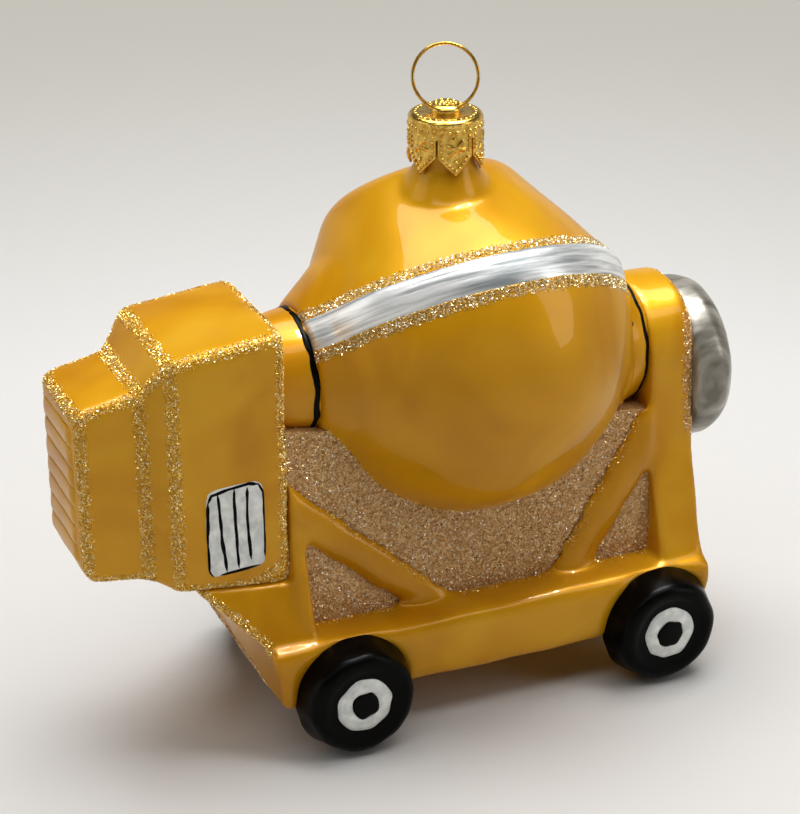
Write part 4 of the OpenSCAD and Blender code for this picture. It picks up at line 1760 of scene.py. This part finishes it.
@dataclass
class Crown:
    """Pressed metal cap with pointed tabs, its bridge and the wire ring."""

    palette: Palette
    tabs: int = 6
    turn_deg: float = -98.0
    notch: float = 3.0
    slit: float = 0.4
    slit_h: float = 6.0
    wall: float = 0.35
    edge: float = 0.9
    star_h: float = 4.7
    star_r: float = 1.7
    star_arms: int = 6

    def build(self) -> None:
        """Builds the cap and its beads, and paints bridge and ring."""
        self.low, self.high = low_high("cap")
        self.middle = (self.low + self.high) / 2
        self.radius = (self.high[0] - self.low[0]) / 2
        self.tall = self.high[2] - self.low[2]
        self.half = math.pi * self.radius / self.tabs
        self.cap()
        self.beads()
        paint_node("cap_bridge", self.palette.sheet)
        paint_node("hanger_ring", self.palette.wire)

    def tab_middle(self, tab: int) -> float:
        """Angle of a tab's middle, in radians."""
        return math.radians(self.turn_deg + tab * 360 / self.tabs)

    def foot(self, across: float) -> float:
        """Height of a tab's pointed foot over its tip, by the place across the tab."""
        return self.notch * abs(across) / (self.half - self.slit / 2)

    def columns(self, steps: int = 32) -> list[tuple[float, float, float]]:
        """Upright lines of the skirt.

        Args:
            steps: Number of steps across a tab.

        Returns:
            Angle, place across the tab and height of the foot for each line.
        """
        edge = self.half - self.slit / 2
        lines = []
        for tab in range(self.tabs):
            spots = [(edge * (2 * i / steps - 1), None) for i in range(steps + 1)]
            spots += [(edge + 0.02, self.slit_h), (2 * self.half - edge - 0.02, self.slit_h)]
            for across, foot in spots:
                height = self.foot(across) if foot is None else foot
                lines.append((self.tab_middle(tab) + across / self.radius, across, height))
        return lines

    def star(self, across: float, up: float) -> float:
        """Height of the pressed snow star at a place on a tab.

        Args:
            across: Place across the tab in millimetres.
            up: Height over the tab's tip in millimetres.

        Returns:
            The height in millimetres.
        """
        reach = math.hypot(across, up - self.star_h)
        if reach > self.star_r:
            return 0.0
        turn = math.atan2(up - self.star_h, across) * self.star_arms / (2 * math.pi) + 0.25
        off = abs(turn - round(turn)) * 2 * math.pi / self.star_arms * reach
        return 0.3 * max(0.0, 1 - (off / 0.3) ** 2)

    def cap(self) -> None:
        """Presses the cap: skirt with pointed tabs and stars, rounded shoulder and flat top."""
        rows = 44
        bends = 7
        rings = 8
        lines = self.columns()
        skirt = self.tall - self.edge
        axis = Vector((self.middle[0], self.middle[1], self.low[2]))
        outer: list[Vector] = []
        inner: list[Vector] = []
        for j in range(rows + bends + rings + 1):
            for angle, across, foot in lines:
                way = Vector((math.cos(angle), math.sin(angle), 0))
                press = 0.0
                drop = 0.0
                if j <= rows:
                    radius = self.radius
                    up = foot + (skirt - foot) * j / rows
                    press = self.star(across, up) - 0.1
                elif j <= rows + bends:
                    bend = math.pi / 2 * (j - rows) / bends
                    radius = self.radius - self.edge * (1 - math.cos(bend))
                    up = skirt + self.edge * math.sin(bend)
                    drop = self.wall * math.sin(bend)
                else:
                    radius = (self.radius - self.edge) * (1 - (j - rows - bends) / rings * 0.98)
                    up = self.tall
                    drop = self.wall
                outer.append(axis + way * (radius + press) + Vector((0, 0, up)))
                inner.append(axis + way * max(0.02, radius + press - self.wall) + Vector((0, 0, up - drop)))
        steps = len(lines)
        shift = len(outer)
        last = (rows + bends + rings) * steps
        faces: list[tuple[int, ...]] = []
        for j in range(rows + bends + rings):
            for i in range(steps):
                k = (i + 1) % steps
                a = j * steps + i
                b = j * steps + k
                faces.append((a, b, b + steps, a + steps))
                faces.append((shift + a, shift + a + steps, shift + b + steps, shift + b))
        for i in range(steps):
            k = (i + 1) % steps
            faces.append((i, shift + i, shift + k, k))
        faces.append(tuple(last + i for i in range(steps)))
        faces.append(tuple(shift + last + i for i in reversed(range(steps))))
        dress(new_piece("cap_shell", outer + inner, faces), self.palette.sheet, ("cap",))

    def bead_spots(self) -> list[tuple[Vector, float]]:
        """Places and sizes of the pressed beads.

        Returns:
            The middle of each bead and its radius, in millimetres.
        """
        spots: list[tuple[Vector, float]] = []

        def on_cap(angle: float, radius: float, up: float, size: float) -> None:
            """Adds a bead.

            Args:
                angle: Its angle about the cap's axis, in radians.
                radius: Its distance from the axis.
                up: Its height over the tips of the tabs.
                size: Its own radius.
            """
            way = Vector((math.cos(angle), math.sin(angle), 0))
            base = Vector((self.middle[0], self.middle[1], self.low[2] + up))
            spots.append((base + way * radius, size))

        inset = 0.5
        per_edge = 5
        per_side = 4
        edge = self.half - self.slit / 2 - inset
        for tab in range(self.tabs):
            for way in (-1, 1):
                for i in range(per_edge):
                    across = way * edge * (i + 0.15) / (per_edge - 0.4)
                    angle = self.tab_middle(tab) + across / self.radius
                    on_cap(angle, self.radius - 0.05, self.foot(across) + 0.75, 0.32)
                for i in range(per_side):
                    angle = self.tab_middle(tab) + way * edge / self.radius
                    on_cap(angle, self.radius - 0.05, self.notch + 1.1 + 0.75 * i, 0.3)
            on_cap(self.tab_middle(tab), self.radius - 0.05, 2.3, 0.42)
        knobs = 30
        for i in range(knobs):
            angle = 2 * math.pi * i / knobs
            on_cap(angle, self.radius - 0.2, self.tall - 1.9, 0.4)
            on_cap(angle + math.pi / knobs, self.radius - 0.42, self.tall - 0.95, 0.5)
            on_cap(angle, self.radius - 1.15, self.tall - 0.3, 0.4)
        _, bridge = low_high("cap_bridge")
        roof = bridge[2] - self.low[2]
        for count, radius in ((1, 0.0), (6, 0.8), (9, 1.6)):
            for i in range(count):
                on_cap(2 * math.pi * i / count + radius, radius, roof - 0.15, 0.36)
        return spots

    def beads(self) -> None:
        """Sets the pressed beads on the cap."""
        spots = self.bead_spots()
        mesh = bpy.data.meshes.new("cap_bead_spots")
        mesh.from_pydata([tuple(place * MM) for place, _ in spots], [], [])
        sizes = [size * MM for _, size in spots]
        mesh.attributes.new("bead_r", "FLOAT", "POINT").data.foreach_set("value", sizes)
        base = bpy.data.objects.new("cap_bead_spots", mesh)
        bpy.context.scene.collection.objects.link(base)
        tree = bpy.data.node_groups.new("pressed_beads", "GeometryNodeTree")
        face = tree.interface
        face.new_socket("Geometry", in_out="INPUT", socket_type="NodeSocketGeometry")
        paint_key = face.new_socket("Material", in_out="INPUT", socket_type="NodeSocketMaterial").identifier
        face.new_socket("Geometry", in_out="OUTPUT", socket_type="NodeSocketGeometry")
        source = add(tree, "NodeGroupInput").outputs
        ball = add(tree, "GeometryNodeMeshUVSphere", {"Segments": 10, "Rings": 6, "Radius": 1.0})
        round_ball = add(tree, "GeometryNodeSetShadeSmooth", {0: ball.outputs[0]})
        size = add(tree, "GeometryNodeInputNamedAttribute", {"Name": "bead_r"}, data_type="FLOAT")
        set_on = add(
            tree,
            "GeometryNodeInstanceOnPoints",
            {"Points": source["Geometry"], "Instance": round_ball.outputs[0], "Scale": size.outputs[0]},
        )
        real = add(tree, "GeometryNodeRealizeInstances", {0: set_on.outputs[0]})
        painted = add(
            tree,
            "GeometryNodeSetMaterial",
            {"Geometry": real.outputs[0], "Material": source["Material"]},
        )
        add(tree, "NodeGroupOutput", {0: painted.outputs[0]})
        modifier = base.modifiers.new("beads", "NODES")
        modifier.node_group = tree
        modifier[paint_key] = self.palette.sheet
        graph = bpy.context.evaluated_depsgraph_get()
        beads = bpy.data.meshes.new_from_object(base.evaluated_get(graph))
        beads.name = "cap_beads"
        bpy.data.objects.remove(base)
        piece = bpy.data.objects.new("cap_beads", beads)
        bpy.context.scene.collection.objects.link(piece)
        dress(piece, self.palette.sheet)


@dataclass
class Studio:
    """Wide pale table, pale walls, soft lamps and the camera at the photograph's angle."""

    camera_mm: Point = (-140.36, -325.91, 217.5)
    target_mm: Point = (0.53, 0.38, 49.59)
    roll_deg: float = -0.27
    lens_mm: float = 104.67
    sensor_mm: float = 36.0
    table_r_mm: float = 6000.0
    fade_mm: tuple[float, float] = (150.0, 450.0)
    wall: str = "#C7C3BA"
    ceiling: str = "#343432"
    wall_fade: tuple[float, float] = (0.2, 0.45)
    dim: float = 0.04
    panels: tuple[tuple[str, Point, tuple[float, float], float], ...] = (
        ("roof_panel", (0.05, 0.13, 0.62), (0.6, 0.4), 4.8),
        ("left_panel", (-0.6, 0.15, 0.3), (0.4, 0.45), 0.6),
        ("front_panel", (-0.02, -0.26, 0.62), (1.0, 0.16), 1.4),
        ("right_window", (0.46, -0.36, 0.3), (0.2, 0.35), 0.55),
    )
    panel_aim: Point = (0.0, 0.05, 0.0)
    frame_lamp: Point = (0.16, 0.0, 0.6)
    frame_size: tuple[float, float] = (0.18, 0.12)
    tube: float = 0.012
    tube_power: float = 1.0

    def build(self) -> None:
        """Sets table, lamps, world and camera."""
        self.table()
        self.lamps()
        self.camera()

    def table(self) -> None:
        """Builds the table as one wide round card that carries the distance from its middle."""
        start, end = self.fade_mm
        steps = 10
        radii = [0.0, start / 2] + [start + (end - start) * i / steps for i in range(steps + 1)]
        outline: Outline = [(radius, 0.0) for radius in radii + [self.table_r_mm]]
        points, faces = lathe_mesh(outline, Matrix.Identity(4), 96)
        upward = [face[::-1] for face in faces]
        card = new_piece("table_card", points, upward, mend=False)
        back = [min(1.0, max(0.0, (point.length - start) / (end - start))) for point in points]
        card.data.attributes.new("distance", "FLOAT", "POINT").data.foreach_set("value", back)
        card.data.materials.append(TablePaper("pale_card", far=self.wall).make())

    def lamp(
        self,
        name: str,
        place: Point,
        size: tuple[float, float],
        power: float,
        aim: Point,
    ) -> bpy.types.Object:
        """Hangs one soft white lamp.

        Args:
            name: Name of the lamp.
            place: Where it hangs, in metres.
            size: Width and height of its panel, in metres.
            power: Power in watts.
            aim: Place that it faces, in metres.

        Returns:
            The lamp.
        """
        data = bpy.data.lights.new(name, "AREA")
        data.shape = "RECTANGLE"
        data.size, data.size_y = size
        data.energy = power
        lamp = bpy.data.objects.new(name, data)
        bpy.context.scene.collection.objects.link(lamp)
        lamp.location = place
        lamp.rotation_euler = (Vector(aim) - Vector(place)).to_track_quat("-Z", "Y").to_euler()
        return lamp

    def lamps(self) -> None:
        """Lights from above and behind; the table throws the rest up at the near faces."""
        for name, place, size, power in self.panels:
            self.lamp(name, place, size, power, self.panel_aim)
        x, y, z = self.frame_lamp
        wide, deep = self.frame_size
        for name, place, size in (
            ("frame_lamp_front", (x, y - deep / 2, z), (wide, self.tube)),
            ("frame_lamp_back", (x, y + deep / 2, z), (wide, self.tube)),
            ("frame_lamp_left", (x - wide / 2, y, z), (self.tube, deep)),
            ("frame_lamp_right", (x + wide / 2, y, z), (self.tube, deep)),
        ):
            tube = self.lamp(name, place, size, self.tube_power, (place[0], place[1], 0.0))
            tube.visible_diffuse = False
        self.room()

    def room(self) -> None:
        """Sets a room with pale walls and a dim ceiling, which hardly lights the ornament."""
        world = bpy.data.worlds.new("dim_room")
        world.use_nodes = True
        tree = world.node_tree
        tree.nodes.clear()
        way = add(tree, "ShaderNodeTexCoord").outputs["Generated"]
        height = add(tree, "ShaderNodeSeparateXYZ", {0: way}).outputs["Z"]
        ramp = add(tree, "ShaderNodeValToRGB", {"Fac": height})
        tone = set_ramp(ramp, list(zip(self.wall_fade, (self.wall, self.ceiling))))
        walls = add(tree, "ShaderNodeBackground", {"Color": tone})
        dim = add(tree, "ShaderNodeBackground", {"Color": linear("#E6E4E0"), "Strength": self.dim})
        blend = add(
            tree,
            "ShaderNodeMixShader",
            {0: seen_rays(tree), 1: dim.outputs[0], 2: walls.outputs[0]},
        )
        add(tree, "ShaderNodeOutputWorld", {"Surface": blend.outputs[0]})
        bpy.context.scene.world = world

    def camera(self) -> None:
        """Puts the camera where the photograph was taken from."""
        data = bpy.data.cameras.new("photo_camera")
        data.lens = self.lens_mm
        data.sensor_width = self.sensor_mm
        data.clip_start = 0.01
        data.clip_end = 20.0
        camera = bpy.data.objects.new("photo_camera", data)
        bpy.context.scene.collection.objects.link(camera)
        place = Vector(self.camera_mm) * MM
        look = (Vector(self.target_mm) * MM - place).to_track_quat("-Z", "Y").to_matrix().to_4x4()
        camera.matrix_world = (
            Matrix.Translation(place) @ look @ Matrix.Rotation(math.radians(self.roll_deg), 4, "Z")
        )
        bpy.context.scene.camera = camera


@dataclass
class Decoration:
    """Glitter and black brush lines, laid on the finished skins."""

    palette: Palette
    drum: Drum
    engine: Engine
    chassis: Chassis
    drum_skin: bpy.types.Object
    engine_skin: bpy.types.Object
    chassis_skin: bpy.types.Object
    hub_skins: Sequence[bpy.types.Object]
    line_gap: float = 0.9

    def build(self) -> None:
        """Strews all glitter and paints all lines."""
        tree = GlitterTree()
        gold = self.palette.gold_grain
        pale = self.palette.pale_grain
        fine = self.palette.fine_grain
        drum = Surface([self.drum_skin])
        web = Surface([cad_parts["web"]])
        framework = Surface([self.chassis_skin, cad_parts["web"]])
        rings = [
            self.drum.ring_line(drum, self.drum.band_low - self.line_gap),
            self.drum.ring_line(drum, self.drum.band_high + self.line_gap),
        ]
        borders = [self.chassis.web_border(drum, web, side) for side in Side]
        middle_x = self.drum.turn.translation.x
        struts = [line for side in Side for line in self.chassis.strut_lines(framework, middle_x, side)]
        struts += [self.chassis.spill_line(side) for side in Side]
        box = self.engine.edges()
        foot = self.chassis.foot_edges()
        dome = [self.chassis.dome_ring()]
        base_end = [self.chassis.end_line()]
        jobs = (
            (GlitterJob("glitter_engine", box, gold, reach=1.15, seed=3), self.engine_skin),
            (GlitterJob("glitter_drum", rings, pale, reach=1.15, seed=5), self.drum_skin),
            (GlitterJob("glitter_drum_border", borders, gold, reach=0.7, density=9, seed=6), self.drum_skin),
            (GlitterJob("glitter_foot", foot, gold, reach=1.3, seed=7), self.chassis_skin),
            (GlitterJob("glitter_dome", dome, fine, reach=1.7, seed=8), self.chassis_skin),
            (GlitterJob("glitter_struts", struts, gold, reach=1.3, density=5, seed=9), self.chassis_skin),
            (GlitterJob("glitter_base_end", base_end, fine, reach=1.8, seed=10), self.chassis_skin),
        )
        for job, carrier in jobs:
            dress(tree.strew(job, carrier), job.material)
        self.fine_beds(tree)
        self.black_lines()

    def fine_beds(self, tree: GlitterTree) -> None:
        """Strews fine champagne glitter on the web and in the mouth.

        Args:
            tree: Nodes that strew the grains.
        """
        everywhere = [[Vector((0, 0, 0)), Vector((1, 0, 0))]]
        tests = (
            ("web", "glitter_web_near", lambda n: n.y < -0.5),
            ("web", "glitter_web_far", lambda n: n.y > 0.5),
            ("drum_mouth", "glitter_mouth", lambda n: n.y > 0.3 and n.z > 0.3),
        )
        for seed, (node, name, keep) in enumerate(tests):
            carrier = self.chassis.bed_faces(node, keep, name + "_bed")
            job = GlitterJob(
                name,
                everywhere,
                self.palette.fine_grain,
                reach=4000.0,
                ragged=0.0,
                density=12.0,
                grain=0.4,
                seed=20 + seed,
                on_skin=False,
            )
            dress(tree.strew(job, carrier), job.material)
            bpy.data.objects.remove(carrier)

    def hub_arc(
        self,
        ground: Surface,
        node: str,
        x: float,
        turn: tuple[float, float],
        side: Side,
    ) -> list[Vector]:
        """Arc about a hub's axis, on the surface.

        Args:
            ground: Surface that takes the arc.
            node: The hub.
            x: Place along the axis in millimetres.
            turn: Angles of its ends above the level line, in degrees.
            side: Side that it is on.

        Returns:
            Points of the arc.
        """
        low, high = low_high(node)
        middle = (low + high) / 2
        spots = []
        for i in range(31):
            angle = math.radians(turn[0] + (turn[1] - turn[0]) * i / 30)
            sway = 0.35 * noise.noise(Vector((i * 0.35, x, side.value)))
            out = Vector((0, side.value * math.cos(angle), math.sin(angle)))
            spot = ground.met(Vector((x + sway, middle[1], middle[2])) + out * SIDE_VIEW, -out)
            if spot:
                spots.append(spot)
        return spots

    def black_lines(self) -> None:
        """Paints the black arcs where the hubs meet drum and post, and the short strokes beside them."""
        left, right = (Surface([hub, self.drum_skin, self.drum.band]) for hub in self.hub_skins)
        box_ground = Surface([self.engine_skin])
        ear_left = low_high("engine_hub")[1][0] - Hubs.seat
        ear_right = low_high("post_hub")[0][0] + Hubs.seat
        post = low_high("post_hub")[1][0]
        box_low, box_high = low_high("engine_housing")
        axle = sum(corner[2] for corner in low_high("engine_hub")) / 2
        strokes = []
        for side in Side:
            arcs = (
                (left, self.hub_arc(left, "engine_hub", ear_left - 0.5, (92, -50), side), 1.05),
                (right, self.hub_arc(right, "post_hub", post - 0.4, (92, -58), side), 0.95),
                (right, self.hub_arc(right, "post_hub", ear_right + 0.25, (58, 31), side), 0.7),
            )
            for ground, path, width in arcs:
                strokes.append(ground.stroke(path, width, 1.9 + 2.3 * len(strokes), rise=0.12))
        corner_x = box_high[0] - 0.3
        near_y = box_low[1]
        edge = [Vector((corner_x, 0.6, box_high[2])), Vector((corner_x, near_y / 2, box_high[2]))]
        tick = [Vector((corner_x, near_y + 0.6, axle - 4)), Vector((corner_x, near_y + 0.6, axle - 7.3))]
        for path in (edge, tick):
            strokes.append(box_ground.stroke(path, 0.6, 1.9 + 2.3 * len(strokes), rise=0.1))
        points, faces = join_meshes(strokes)
        lines = new_piece("painted_arcs", points, faces, mend=False)
        dress(lines, self.palette.black)


def main() -> None:
    """Builds the ornament's looks in order, and the studio round it."""
    logging.basicConfig(level=logging.INFO, format="%(name)s %(message)s")
    bpy.context.scene.view_settings.view_transform = "Standard"
    palette = Palette.mix()
    drum = Drum(palette)
    engine = Engine(palette)
    chassis = Chassis(palette)
    drum_skin = drum.build()
    hub_skins = Hubs(palette).build()
    engine_skin = engine.build()
    chassis_skin = chassis.build()
    Wheels(palette).build()
    Crown(palette).build()
    Decoration(palette, drum, engine, chassis, drum_skin, engine_skin, chassis_skin, hub_skins).build()
    Studio().build()


if __name__ == "__main__":
    main()
